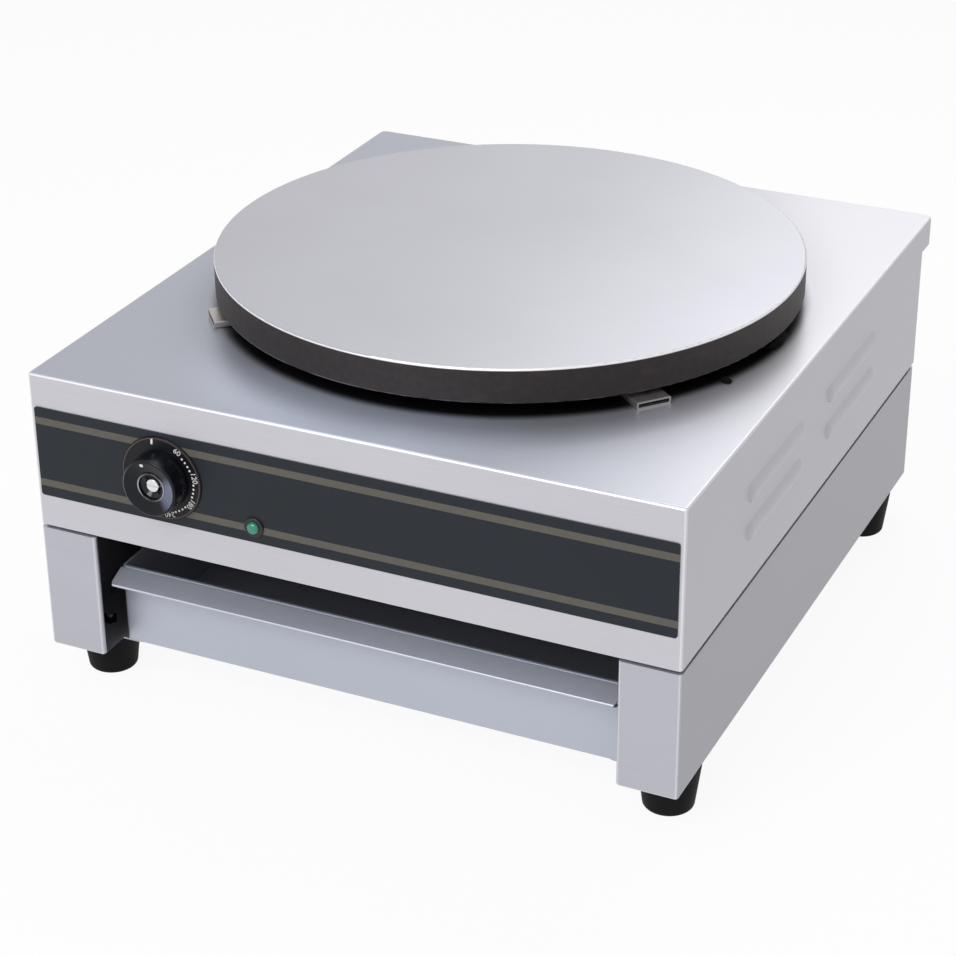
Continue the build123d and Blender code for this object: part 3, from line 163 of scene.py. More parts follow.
class Graph:
    """The nodes of one material or world under construction."""

    def __init__(self, owner: Union[bpy.types.Material, bpy.types.World]) -> None:
        """Start with no nodes.

        Args:
            owner: The material or world that the nodes belong to.
        """
        self.owner = owner
        owner.use_nodes = True
        self.tree = owner.node_tree
        self.tree.nodes.clear()

    def node(self, kind: str, settings: Optional[dict] = None,
             inputs: Optional[dict] = None, output: Union[int, str] = 0) -> Signal:
        """Add a node, with its settings first and its sockets after.

        Args:
            kind: Blender's name for the node type.
            settings: Attributes of the node, such as a Math node's operation.
            inputs: Values or signals for its sockets, by name or number.
            output: The output socket to carry on from.

        Returns:
            The signal on that output.
        """
        made = self.tree.nodes.new(kind)
        for key, value in (settings or {}).items():
            setattr(made, key, value)
        for key, value in (inputs or {}).items():
            if isinstance(value, Signal):
                self.tree.links.new(value.socket, made.inputs[key])
            else:
                made.inputs[key].default_value = value
        return Signal(self, made.outputs[output] if made.outputs else None)

    def maths(self, operation: str, *values: Number) -> Signal:
        """Add a Math node on numbers."""
        return self.node("ShaderNodeMath", {"operation": operation}, dict(enumerate(values)))

    def split(self, vector: Signal) -> tuple[Signal, Signal, Signal]:
        """Take a vector apart.

        Args:
            vector: The vector.

        Returns:
            Its x, y and z.
        """
        x = self.node("ShaderNodeSeparateXYZ", None, {0: vector}, "X")
        outputs = x.socket.node.outputs
        return x, Signal(self, outputs["Y"]), Signal(self, outputs["Z"])

    def radial(self, across: Signal, along: Signal) -> Signal:
        """Distance from an axis, from two distances at right angles to it."""
        return (across * across + along * along) ** 0.5

    def larger(self, *values: Signal) -> Signal:
        """The largest of two or more values."""
        most = values[0]
        for value in values[1:]:
            most = self.maths("MAXIMUM", most, value)
        return most

    def place(self) -> Signal:
        """Point of the surface in the object's own frame, in metres."""
        return self.node("ShaderNodeTexCoord", output="Object")

    def facing(self) -> tuple[Signal, Signal, Signal]:
        """Direction that the surface faces, as x, y and z."""
        return self.split(self.node("ShaderNodeNewGeometry", output="Normal"))

    def noise(self, per_metre: Union[float, Sequence[float]], detail: float) -> Signal:
        """Soft noise round one half.

        Args:
            per_metre: How many lumps fit in a metre, for all three axes or for each.
            detail: How much finer noise is added.

        Returns:
            The noise.
        """
        lumps = per_metre if isinstance(per_metre, Sequence) else (per_metre,) * 3
        stretched = self.node("ShaderNodeVectorMath", {"operation": "MULTIPLY"},
                              {0: self.place(), 1: tuple(lumps)})
        return self.node("ShaderNodeTexNoise", None,
                         {"Vector": stretched, "Scale": 1.0, "Detail": detail})

    def tint(self, mask: Number, low: Input, high: Input) -> Signal:
        """Go from one colour to another.

        Args:
            mask: 0 for the first colour and 1 for the second.
            low: The first colour.
            high: The second colour.

        Returns:
            The mixed colour.
        """
        return self.node("ShaderNodeMix", {"data_type": "RGBA"},
                         {0: mask, 6: rgba(low), 7: rgba(high)}, output=2)

    def shades(self, mask: Number, colour: Colour, darkest: float, lightest: float) -> Signal:
        """Go from a darker to a lighter shade of one colour."""
        return self.tint(mask, shade(colour, darkest), shade(colour, lightest))

    def filtered(self, mask: Signal, colour: Signal, tint: Colour) -> Signal:
        """Multiply a colour by a tint where a mask is 1."""
        return self.node("ShaderNodeMix", {"data_type": "RGBA", "blend_type": "MULTIPLY"},
                         {0: mask, 6: colour, 7: rgba(tint)}, output=2)

    def bump(self, height: Signal, depth_mm: float, strength: float) -> Signal:
        """Turn a height from 0 to 1, which stands for 0 to the depth, into a normal."""
        return self.node("ShaderNodeBump", None,
                         {"Height": height, "Distance": depth_mm * MM, "Strength": strength})

    def surface(self, colour: Input, roughness: Number, metallic: Number = 0.0,
                normal: Optional[Signal] = None, **fixed: Input) -> None:
        """Close the material with a Principled surface.

        Args:
            colour: Base colour, plain or a signal.
            roughness: Roughness, plain or a signal.
            metallic: Metallic, plain or a signal.
            normal: Normal from a Bump node, if there is one.
            fixed: Other sockets by name, with underscores for spaces.
        """
        inputs = {"Base Color": rgba(colour), "Roughness": roughness, "Metallic": metallic}
        if normal is not None:
            inputs["Normal"] = normal
        for key, value in fixed.items():
            inputs[key.replace("_", " ")] = value
        self.output(self.node("ShaderNodeBsdfPrincipled", None, inputs))

    def output(self, shader: Signal, kind: str = "ShaderNodeOutputMaterial") -> None:
        """End the graph with a shader."""
        self.node(kind, None, {"Surface": shader})


# ---------------------------------------------------------------------- finishes
class Grain(Enum):
    """Which way a sheet was brushed."""

    FOLDED = "along the width on top and front, along the depth on the sides"
    ACROSS = "along the width everywhere"


@dataclass(frozen=True)
class Finish(ABC):
    """A surface finish that is built once and shared by its pieces."""

    name: str
    made: ClassVar[dict[str, bpy.types.Material]] = {}

    @abstractmethod
    def draw(self, graph: Graph) -> None:
        """Lay out the finish's nodes.

        Args:
            graph: The material to fill.
        """

    def material(self) -> bpy.types.Material:
        """Return the finish's material, made on first use."""
        if self.name not in self.made:
            self.made[self.name] = bpy.data.materials.new(self.name)
            self.draw(Graph(self.made[self.name]))
        return self.made[self.name]

    def dress(self, piece: bpy.types.Object) -> None:
        """Put the finish on a piece.

        Args:
            piece: A mesh object, from the frame or made here.
        """
        if not piece.material_slots:
            piece.data.materials.append(self.material())
        for slot in piece.material_slots:
            slot.material = self.material()


@dataclass(frozen=True)
class BrushedSteel(Finish):
    """Stainless sheet with a fine brushed grain, a slight cloudiness, painted shade on its sides
    and top, and a painted highlight on its folds.
    """

    colour: Colour
    roughness: float = 0.36
    grain: Grain = Grain.FOLDED
    metallic: float = 0.6
    cloud: float = 0.05
    streak: float = 0.05
    side_shade_level: float = 1.0
    top_shade_tint: Colour = (1.0, 1.0, 1.0)
    fold_highlight_tint: Colour = (1.35, 1.35, 1.33)
    folding: Span = (0.99, 0.93)
    sideways: Span = (0.5, 0.8)
    upwards: Span = (0.5, 0.9)
    fine_per_m: float = 1300.0
    coarse_per_m: float = 14.0
    clouds_per_m: Triple = (5.0, 5.0, 7.0)
    darkest: float = 0.5
    lightest: float = 1.2
    rough_streak: float = 0.12
    rough_cloud: float = 0.10
    groove_mm: float = 0.03

    def folds(self, graph: Graph, facing: Sequence[Signal]) -> Signal:
        """Mark the folds, which face no axis squarely."""
        return graph.larger(*(abs(part) for part in facing)).rise(*self.folding)

    def paint_light_and_shade(self, graph: Graph, colour: Signal, top: Signal,
               cloudy: Signal) -> tuple[Signal, Number]:
        """Colour and metallic with painted light and shade by place; a plain sheet has none."""
        return colour, self.metallic

    def draw(self, graph: Graph) -> None:
        """Lay out grain, cloudiness, painted shade on sides and top, painted highlight on folds,
        and bump.
        """
        facing = graph.facing()
        fine, coarse = self.fine_per_m, self.coarse_per_m
        lines = graph.noise((coarse, fine, fine), 4)
        level: Number = 1.0
        if self.grain is Grain.FOLDED:
            side = abs(facing[0]).rise(*self.sideways)
            lines = lines * (1 - side) + graph.noise((fine, coarse, fine), 4) * side
            # painted shade: faces turned sideways are darker than the front
            level = 1 - side * (1 - self.side_shade_level)
        cloudy = graph.noise(self.clouds_per_m, 4)
        level = cloudy.about(lines.about(level, 2 * self.streak), 2 * self.cloud)
        colour = graph.shades((level - self.darkest) / (self.lightest - self.darkest),
                              self.colour, self.darkest, self.lightest)
        top = facing[2].rise(*self.upwards)
        # painted shade: faces that look up get a darker, bluish tint
        colour = graph.filtered(top, colour, self.top_shade_tint)
        # painted highlight: folds are lighter, as if they caught the light
        if self.grain is Grain.FOLDED:
            colour = graph.filtered(self.folds(graph, facing), colour, self.fold_highlight_tint)
        colour, metallic = self.paint_light_and_shade(graph, colour, top, cloudy)
        roughness = cloudy.about(lines.about(self.roughness, self.rough_streak),
                                 self.rough_cloud)
        graph.surface(colour, roughness, metallic, graph.bump(lines, self.groove_mm, 0.35))


@dataclass(frozen=True)
class CoverSteel(BrushedSteel):
    """Top cover's sheet: painted shadow round the plate, painted light before the plate and at the
    right rear, and a painted highlight on its outer folds alone.
    """

    axis_y: float = 0.0
    radius: float = 0.2
    fold_y: float = 0.2
    fold_z: float = 0.2
    end_fade_mm: Span = (0.0, 5.0)
    top_fade_mm: Span = (0.0, 2.0)
    # painted light: the top gets lighter toward the right rear
    right_light_tint: Colour = (1.42, 1.36, 1.26)
    right_light_slant: float = 0.35
    right_light_m: Span = (0.04, 0.26)
    # painted light with a bluish cast on the top just before the plate
    front_light_tint: Colour = (1.42, 1.48, 1.57)
    front_light_mm: Span = (75.0, 30.0)
    front_light_reach: float = 0.75
    front_light_band: Triple = (-0.10, 0.08, 0.06)
    # painted shadow: a dark band round and under the plate's rim
    rim_shadow: Colour = (0.024, 0.022, 0.025)
    rim_shadow_cover: float = 0.95
    rim_shadow_metallic: float = 0.97
    rim_shadow_mm: Span = (6.0, -5.0)
    ragged_mm: float = 4.0

    def folds(self, graph: Graph, facing: Sequence[Signal]) -> Signal:
        """Mark the outer folds and leave the louvres out.

        Args:
            graph: The material under construction.
            facing: Direction that the surface faces, as x, y and z.

        Returns:
            A mask that is 1 on an outer fold.
        """
        _, y, z = graph.split(graph.place())
        outer = graph.larger(abs(y).past(self.fold_y, self.end_fade_mm),
                             z.past(self.fold_z, self.top_fade_mm))
        return super().folds(graph, facing) * outer

    def paint_light_and_shade(self, graph: Graph, colour: Signal, top: Signal,
               cloudy: Signal) -> tuple[Signal, Number]:
        """Paint light on the right rear and on the stretch before the plate, and paint a shadow
        round the plate.

        Args:
            graph: The material under construction.
            colour: Colour of the sheet before these marks.
            top: 1 where the sheet faces up.
            cloudy: The sheet's cloudiness.

        Returns:
            Colour and metallic with the painted light and shadow.
        """
        x, y, _ = graph.split(graph.place())
        # painted light: the top gets lighter toward the right rear
        right_light_mask = (x + y * self.right_light_slant).rise(*self.right_light_m) * top
        colour = graph.filtered(right_light_mask, colour, self.right_light_tint)
        radial = cloudy.about(graph.radial(x, y - self.axis_y), self.ragged_mm * MM)
        # painted light with a bluish cast on the top just before the plate
        front = y.rise(self.axis_y - self.front_light_reach * self.radius, self.axis_y - self.radius)
        front_light_mask = radial.past(self.radius, self.front_light_mm) * top * front * x.band(*self.front_light_band)
        colour = graph.filtered(front_light_mask, colour, self.front_light_tint)
        # painted shadow: a dark band round and under the plate's rim
        rim_shadow_mask = radial.past(self.radius, self.rim_shadow_mm) * top
        colour = graph.tint(rim_shadow_mask * self.rim_shadow_cover, colour, self.rim_shadow)
        return colour, self.metallic + rim_shadow_mask * (self.rim_shadow_metallic - self.metallic)


@dataclass(frozen=True)
class GriddleFinish(Finish):
    """Ground cooking face over a dark cast rim, with machined corners that carry a painted glint.
    """

    axis_y: float
    rim_low: float
    top: float
    face: Colour = srgb(178, 178, 185)
    rim: Colour = srgb(48, 42, 43)
    corner: Colour = srgb(236, 234, 236)
    rust: Colour = srgb(64, 50, 45)
    rust_cover: float = 0.5
    face_levels: Span = (0.90, 1.09)
    rim_levels: Span = (0.78, 1.18)
    face_mm: Span = (-3.0, -1.0)
    upper_corner_mm: Span = (-1.5, -0.8)
    lower_corner_mm: Span = (1.5, 0.6)
    rings_per_m: float = 900.0
    clouds_per_m: float = 7.0
    specks_per_m: float = 240.0
    turning_per_m: Triple = (30.0, 30.0, 900.0)
    rust_per_m: Triple = (38.0, 38.0, 90.0)
    wear_per_m: float = 55.0
    worn_share: float = 0.2
    grit_mm: float = 0.15

    def ground(self, graph: Graph, rings: Signal) -> Signal:
        """Colour of the ground face: cloudy, with fine rings."""
        level = rings.about(graph.noise(self.clouds_per_m, 5).about(0.5, 0.9), 0.35)
        return graph.shades(level, self.face, *self.face_levels)

    def cast(self, graph: Graph, speckle: Signal) -> Signal:
        """Colour of the cast rim: specks, marks from turning and patches of rust."""
        level = speckle.rise(0.35, 0.7) * 0.6 + graph.noise(self.turning_per_m, 2) * 0.4
        rusty = graph.noise(self.rust_per_m, 5).rise(0.54, 0.72) * self.rust_cover
        return graph.tint(rusty, graph.shades(level, self.rim, *self.rim_levels), self.rust)

    def draw(self, graph: Graph) -> None:
        """Lay out the ground face, the rim and the painted glint on its two corners."""
        x, y, z = graph.split(graph.place())
        _, _, up = graph.facing()
        rings = graph.node("ShaderNodeTexNoise", {"noise_dimensions": "1D"},
                           {"W": graph.radial(x, y - self.axis_y), "Scale": self.rings_per_m,
                            "Detail": 3.0})
        speckle = graph.noise(self.specks_per_m, 6)
        worn = graph.noise(self.wear_per_m, 5).rise(0.34, 0.62)
        is_face = up.rise(0.75, 0.95) * z.past(self.top, self.face_mm)
        # machined top corner with a painted glint; the lower corner shows it only in worn patches
        upper = z.past(self.top, self.upper_corner_mm)
        lower = z.past(self.rim_low, self.lower_corner_mm)
        bright = graph.larger(upper, lower * worn * self.worn_share) * (1 - is_face)
        sides = graph.tint(bright, self.cast(graph, speckle), self.corner)
        colour = graph.tint(is_face, sides, self.ground(graph, rings))
        roughness = rings.about(0.55 - is_face * 0.15 - bright * 0.18, 0.08)
        height = rings * is_face * 0.3 + speckle * (1 - is_face)
        graph.surface(colour, roughness, 0.35 + is_face * 0.45,
                      graph.bump(height, self.grit_mm, 0.5))


@dataclass(frozen=True)
class StripedFilm(Finish):
    """Dark panel film with two pale stripes printed along it."""

    low: float
    high: float
    film: Colour = srgb(30, 35, 41)
    stripe: Colour = srgb(92, 89, 82)
    stripe_setin_mm: float = 9.5
    stripe_mm: float = 5.0
    soft_mm: float = 0.15
    film_levels: Span = (0.84, 1.16)
    stripe_levels: Span = (0.86, 1.12)
    dots_per_m: float = 900.0
    haze_per_m: Triple = (9.0, 9.0, 14.0)
    print_per_m: float = 420.0

    def draw(self, graph: Graph) -> None:
        """Lay out the film, its stripes and a faint texture."""
        _, _, z = graph.split(graph.place())
        half, soft = self.stripe_mm / 2 * MM, self.soft_mm * MM
        low, high = self.low + self.stripe_setin_mm * MM, self.high - self.stripe_setin_mm * MM
        stripes = z.band(low - half, low + half, soft) + z.band(high - half, high + half, soft)
        dots = graph.noise(self.dots_per_m, 2)
        haze = graph.noise(self.haze_per_m, 4)
        film = graph.shades(dots * 0.5 + haze * 0.5, self.film, *self.film_levels)
        stripe = graph.shades(graph.noise(self.print_per_m, 3), self.stripe, *self.stripe_levels)
        colour = graph.tint(stripes, film, stripe)
        roughness = haze.about(0.42, 0.12) - stripes * 0.06
        graph.surface(colour, roughness, 0.0, graph.bump(dots, 0.02, 0.3),
                      Specular_IOR_Level=0.25)


@dataclass(frozen=True)
class Moulding(Finish):
    """Moulded plastic, rubber or ceramic with a fine skin texture."""

    colour: Colour
    roughness: float = 0.4
    skin_per_m: float = 1200.0
    depth_mm: float = 0.02
    variation: float = 0.12
    gloss: float = 0.5
    skin_strength: float = 0.5
    scuffs_per_m: float = 60.0
    scuff_rough: float = 0.16

    def tone(self, graph: Graph, skin: Signal, scuff: Signal) -> Signal:
        """Colour that varies with the skin and the scuffs."""
        return graph.shades(skin * 0.5 + scuff * 0.5, self.colour, 1 - self.variation,
                            1 + self.variation)

    def draw(self, graph: Graph) -> None:
        """Lay out skin texture and scuffs."""
        skin = graph.noise(self.skin_per_m, 3)
        scuff = graph.noise(self.scuffs_per_m, 5)
        graph.surface(self.tone(graph, skin, scuff),
                      scuff.about(self.roughness, self.scuff_rough), 0.0,
                      graph.bump(skin, self.depth_mm, self.skin_strength),
                      Specular_IOR_Level=self.gloss)


@dataclass(frozen=True)
class PolishedMoulding(Moulding):
    """Polished black plastic with a painted sheen where it faces one way."""

    skin_strength: float = 0.3
    scuffs_per_m: float = 90.0
    # painted sheen: paler colour on faces turned toward one direction
    painted_sheen: Colour = srgb(116, 125, 146)
    toward: Triple = (-0.33, -0.94, 0.05)
    spread: Span = (0.955, 1.0)

    def tone(self, graph: Graph, skin: Signal, scuff: Signal) -> Signal:
        """Colour that varies with the scuffs, under the painted sheen.

        Args:
            graph: The material under construction.
            skin: The skin texture, which a polished part doesn't show.
            scuff: The scuffs.

        Returns:
            The colour.
        """
        x, y, z = graph.facing()
        along = x * self.toward[0] + y * self.toward[1] + z * self.toward[2]
        plain = graph.shades(scuff, self.colour, 1 - self.variation, 1 + self.variation)
        # painted sheen on faces turned toward one direction
        return graph.tint(along.rise(*self.spread) * scuff.about(0.75, 0.5), plain, self.painted_sheen)


@dataclass(frozen=True)
class Metalwork(Finish):
    """Small metal parts: plated, drawn, turned or darkened by heat."""

    colour: Colour
    roughness: float = 0.3
    stain: Colour = (0.12, 0.10, 0.09)
    stained: float = 0.15
    marks_per_m: float = 700.0
    stains_per_m: float = 70.0

    def draw(self, graph: Graph) -> None:
        """Lay out fine marks and stains."""
        marks = graph.noise(self.marks_per_m, 3)
        stain = graph.noise(self.stains_per_m, 5).rise(0.5, 0.75) * self.stained
        colour = graph.tint(stain, graph.shades(marks, self.colour, 0.9, 1.1), self.stain)
        roughness = marks.about(self.roughness, 0.1) + stain * 0.4
        graph.surface(colour, roughness, 0.95, graph.bump(marks, 0.02, 0.4))


@dataclass(frozen=True)
class PlatedButton(Finish):
    """Black dished cap with a bright button in its middle."""

    axis_x: float
    axis_z: float
    front_y: float
    button: float
    plating: Colour = srgb(226, 228, 232)
    cap: Colour = srgb(9, 9, 12)
    edge_mm: Span = (0.1, -0.1)
    slot_mm: Span = (0.7, 0.3)
    marks_per_m: float = 700.0

    def draw(self, graph: Graph) -> None:
        """Lay out the cap, the button and the painted shade on the floor of its slot."""
        x, y, z = graph.split(graph.place())
        radial = graph.radial(x - self.axis_x, z - self.axis_z)
        # plating stops below the button's face, so the slot floor takes the cap's black as painted
        # shade
        plated = radial.past(self.button, self.edge_mm) * y.past(self.front_y, self.slot_mm)
        marks = graph.noise(self.marks_per_m, 3)
        cap = graph.shades(marks, self.cap, 0.7, 1.3)
        bright = graph.shades(marks, self.plating, 0.92, 1.06)
        graph.surface(graph.tint(plated, cap, bright), marks.about(0.16, 0.08), plated,
                      graph.bump(marks, 0.01, 0.3), Specular_IOR_Level=0.35)


@dataclass(frozen=True)
class Lens(Finish):
    """Translucent coloured lens over a small lamp."""

    colour: Colour
    ribs_per_m: Triple = (1500.0, 40.0, 1500.0)

    def draw(self, graph: Graph) -> None:
        """Lay out the tinted dome and its inner ribs."""
        ribs = graph.noise(self.ribs_per_m, 1)
        colour = graph.shades(ribs, self.colour, 0.7, 1.3)
        graph.surface(colour, ribs.about(0.12, 0.05), 0.0, graph.bump(ribs, 0.05, 0.4),
                      Transmission_Weight=0.25, Coat_Weight=0.6, IOR=1.49)


@dataclass(frozen=True)
class Fibre(Finish):
    """Pressed mineral wool or a braided sleeve."""

    colour: Colour
    strands_per_m: Triple = (260.0, 260.0, 900.0)
    lumps_per_m: float = 90.0

    def draw(self, graph: Graph) -> None:
        """Lay out matted strands."""
        strands = graph.noise(self.strands_per_m, 6)
        level = strands * 0.6 + graph.noise(self.lumps_per_m, 5) * 0.4
        colour = graph.shades(level.rise(0.3, 0.7), self.colour, 0.55, 1.4)
        graph.surface(colour, 0.92, 0.0, graph.bump(level, 0.5, 0.8), Specular_IOR_Level=0.1)


@dataclass(frozen=True)
class Ink(Finish):
    """Printed ink, slightly uneven."""

    colour: Colour
    grain_per_m: float = 2200.0

    def draw(self, graph: Graph) -> None:
        """Lay out the ink's cover."""
        cover = graph.noise(self.grain_per_m, 3)
        colour = graph.shades(cover.rise(0.2, 0.6), self.colour, 0.82, 1.0)
        graph.surface(colour, cover.about(0.5, 0.1))


# painted shade: the housing's sides are darker, and its top darker and bluer
HOUSING_STEEL = BrushedSteel("housing_steel", srgb(200, 199, 206), side_shade_level=0.80,
                             top_shade_tint=(0.65, 0.68, 0.72))
# painted shade: the base is a darker copy of the housing's steel, with still darker sides
BASE_STEEL = BrushedSteel("base_steel", srgb(185, 185, 194), side_shade_level=0.68)
INNER_STEEL = BrushedSteel("inner_steel", srgb(150, 148, 150), 0.42, Grain.ACROSS)
TRAY_STEEL = BrushedSteel("tray_steel", srgb(184, 188, 200), 0.40, Grain.ACROSS, 0.6, 0.07, 0.03)
BRACKET_STEEL = BrushedSteel("bracket_steel", srgb(184, 180, 178), 0.30, Grain.ACROSS, 0.85)
ZINC = Metalwork("zinc_fasteners", srgb(196, 196, 200), 0.28)
DARK_SHEATH = Metalwork("element_sheath", srgb(92, 84, 80), 0.48, stained=0.7)
CLAMP_STEEL = Metalwork("clamp_steel", srgb(138, 132, 130), 0.42, stained=0.5)
ALUMINIUM = Metalwork("pan_aluminium", srgb(190, 191, 194), 0.40, stained=0.2)
COPPER = Metalwork("sensor_copper", srgb(190, 118, 84), 0.34, stained=0.25)
BLACK_OXIDE = Metalwork("black_oxide", srgb(44, 43, 45), 0.42)
BRASS = Metalwork("earth_brass", srgb(206, 172, 96), 0.30, stained=0.2)
# painted sheen: the knob's dish is paler on one side, the lip round its recess on the other
KNOB_BLACK = PolishedMoulding("knob_black", srgb(12, 14, 22), 0.22, depth_mm=0.01,
                              variation=0.3, gloss=0.25)
LIP_BLACK = PolishedMoulding("lip_black", srgb(16, 17, 23), 0.18, depth_mm=0.01, variation=0.3,
                             painted_sheen=srgb(206, 211, 220), toward=(0.83, -0.5, -0.22),
                             spread=(0.45, 0.95))
DIAL_BLACK = Moulding("dial_black", srgb(15, 16, 21), 0.34, depth_mm=0.005, gloss=0.25)
LAMP_BLACK = Moulding("lamp_black", srgb(20, 22, 22), 0.35)
SWITCH_GREY = Moulding("switch_grey", srgb(58, 58, 60), 0.5)
GLAND_BLACK = Moulding("gland_black", srgb(34, 34, 36), 0.48)
FOOT_RUBBER = Moulding("foot_rubber", srgb(14, 14, 17), 0.62, skin_per_m=700, depth_mm=0.06,
                       gloss=0.12)
GASKET_RUBBER = Moulding("gasket_rubber", srgb(84, 82, 84), 0.75)
CERAMIC = Moulding("ceramic", srgb(232, 226, 208), 0.6, skin_per_m=500, variation=0.06)
WOOL = Fibre("mineral_wool", srgb(38, 35, 35))
# black wool lumps beside the plate's rim; the larger stands for deep shade under the rim
DARK_WOOL = Fibre("dark_wool", srgb(15, 13, 14))
SLEEVE = Fibre("wire_sleeve", srgb(196, 184, 158), (900, 900, 900))
GREEN_LENS = Lens("green_lens", srgb(24, 150, 122))
WHITE_INK = Ink("white_ink", srgb(232, 232, 230))
GREY_INK = Ink("grey_ink", srgb(128, 126, 124))
OUTLINE_INK = Ink("outline_ink", srgb(104, 84, 84))


# ------------------------------------------------------------------ mesh building
class Body(Enum):
    """Bodies of the frame that pieces ride on."""

    CHASSIS = "chassis"
    KNOB = "knob"
    TRAY = "tray"


def add_object(name: str, data: bpy.types.ID) -> bpy.types.Object:
    """Put data into the scene as an object."""
    made = bpy.data.objects.new(name, data)
    bpy.context.scene.collection.objects.link(made)
    return made


def to_data(name: str, mesh: bmesh.types.BMesh) -> bpy.types.Mesh:
    """Turn a built mesh into mesh data and free it."""
    data = bpy.data.meshes.new(name)
    mesh.to_mesh(data)
    mesh.free()
    return data


def add_piece(name: str, mesh: bmesh.types.BMesh, finish: Finish, body: Body,
              replaces: Sequence[str] = (), smooth_deg: float = 35.0) -> None:
    """Turn a built mesh into a piece of the object.

    Args:
        name: Name of the piece.
        mesh: The mesh in place, in metres. It is freed here.
        finish: What it is dressed in.
        body: What it rides on.
        replaces: CAD nodes that it stands for.
        smooth_deg: Edges flatter than this are shaded smooth.
    """
    bmesh.ops.recalc_face_normals(mesh, faces=mesh.faces)
    for edge in mesh.edges:
        edge.smooth = edge.calc_face_angle(math.pi) < math.radians(smooth_deg)
    for face in mesh.faces:
        face.smooth = True
    piece = add_object(name, to_data(name, mesh))
    finish.dress(piece)
    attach(piece, body.value)
    if replaces:
        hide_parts(*replaces)
    LOG.info("piece %s rides on %s", name, body.value)


def lathe(profile: Sequence[Point], segments: int,
          flute: Optional[Callable[[float, float], float]] = None) -> bmesh.types.BMesh:
    """Turn a closed outline about Z.

    Args:
        profile: Points as radius and height, in metres, round the outline.
        segments: Steps round the axis.
        flute: Radius to add at a turn in radians and a height, if any.

    Returns:
        The closed mesh.
    """
    mesh = bmesh.new()
    rings = []
    for step in range(segments):
        turn = 2 * math.pi * step / segments
        ring = []
        for radius, height in profile:
            r = radius + (flute(turn, height) if flute and radius > 0 else 0.0)
            ring.append(mesh.verts.new((r * math.cos(turn), r * math.sin(turn), height)))
        rings.append(ring)
    for step in range(segments):
        here, after = rings[step], rings[(step + 1) % segments]
        for i in range(len(profile)):
            j = (i + 1) % len(profile)
            mesh.faces.new((here[i], after[i], after[j], here[j]))
    bmesh.ops.remove_doubles(mesh, verts=mesh.verts, dist=1e-7)
    return mesh


def threaded(radius: float, low: float, high: float, pitch: float, inner: float = 0.0,
             segments: int = 48) -> bmesh.types.BMesh:
    """Rod or sleeve with a thread-like surface.

    Args:
        radius: Outer radius.
        low: Lower end.
        high: Upper end.
        pitch: Distance between crests.
        inner: Radius of the hole through it.
        segments: Steps round the axis.

    Returns:
        The mesh, along Z.
    """
    turns = max(2, int((high - low) / pitch))
    step = (high - low) / turns
    root = radius - pitch * THREAD_DEPTH
    outline = [(inner, low)]
    for i in range(turns):
        outline += [(root, low + step * i), (radius, low + step * (i + 0.5))]
    outline += [(root, high), (inner, high)]
    return lathe(outline, segments)


def arc(centre: Point, radius: float, start_deg: float, end_deg: float,
        steps: int) -> list[Point]:
    """Points along an arc of an outline.

    Args:
        centre: Centre of the arc.
        radius: Its radius.
        start_deg: Angle of the first point.
        end_deg: Angle of the last point.
        steps: Steps between them.

    Returns:
        The points, both ends included.
    """
    angles = [math.radians(start_deg + (end_deg - start_deg) * i / steps)
              for i in range(steps + 1)]
    return [(centre[0] + radius * math.cos(a), centre[1] + radius * math.sin(a)) for a in angles]


def flat_shape(outline: Sequence[Point], thickness: float) -> bmesh.types.BMesh:
    """Thin solid from a flat outline, lying in XY with its top at z = 0.

    Args:
        outline: Points round the shape.
        thickness: How thick it is.

    Returns:
        The closed mesh.
    """
    mesh = bmesh.new()
    face = mesh.faces.new([mesh.verts.new((x, y, 0)) for x, y in outline])
    grown = bmesh.ops.extrude_face_region(mesh, geom=[face])
    lower = [item for item in grown["geom"] if isinstance(item, bmesh.types.BMVert)]
    bmesh.ops.translate(mesh, verts=lower, vec=(0, 0, -thickness))
    return mesh


def worked_out(made: bpy.types.Object) -> bmesh.types.BMesh:
    """Mesh of an object with its modifiers or its text worked out."""
    bpy.context.view_layer.update()
    mesh = bmesh.new()
    mesh.from_mesh(made.evaluated_get(bpy.context.evaluated_depsgraph_get()).to_mesh())
    return mesh


def merge(meshes: Sequence[bmesh.types.BMesh]) -> bmesh.types.BMesh:
    """Put several meshes into one and free them.

    Args:
        meshes: The meshes.

    Returns:
        One mesh with all their faces.
    """
    whole = bmesh.new()
    for mesh in meshes:
        data = to_data("part", mesh)
        whole.from_mesh(data)
        bpy.data.meshes.remove(data)
    return whole


def subtract(body: bmesh.types.BMesh, tool: bmesh.types.BMesh) -> bmesh.types.BMesh:
    """Cut one closed mesh out of another.

    Args:
        body: The mesh that is cut. It is freed.
        tool: The mesh that cuts. It is freed.

    Returns:
        What is left.
    """
    objects = []
    for name, mesh in (("cut_body", body), ("cut_tool", tool)):
        bmesh.ops.recalc_face_normals(mesh, faces=mesh.faces)
        objects.append(add_object(name, to_data(name, mesh)))
    target, cutter = objects
    modifier = target.modifiers.new("cut", "BOOLEAN")
    modifier.object = cutter
    modifier.operation = "DIFFERENCE"
    modifier.solver = "EXACT"
    left = worked_out(target)
    for made in objects:
        data = made.data
        bpy.data.objects.remove(made)
        bpy.data.meshes.remove(data)
    return left


def to_front(centre: Vector) -> Matrix:
    """Matrix that stands a shape made along +Z at a point, facing the front."""
    return Matrix.Translation(centre) @ Matrix.Rotation(math.pi / 2, 4, "X")


def to_back(centre: Vector) -> Matrix:
    """Matrix that stands a shape made along +Z at a point, facing the back."""
    return Matrix.Translation(centre) @ Matrix.Rotation(-math.pi / 2, 4, "X")


def centre_of(node: str) -> Vector:
    """Middle of a CAD node's box."""
    low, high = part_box(node)
    return (low + high) / 2


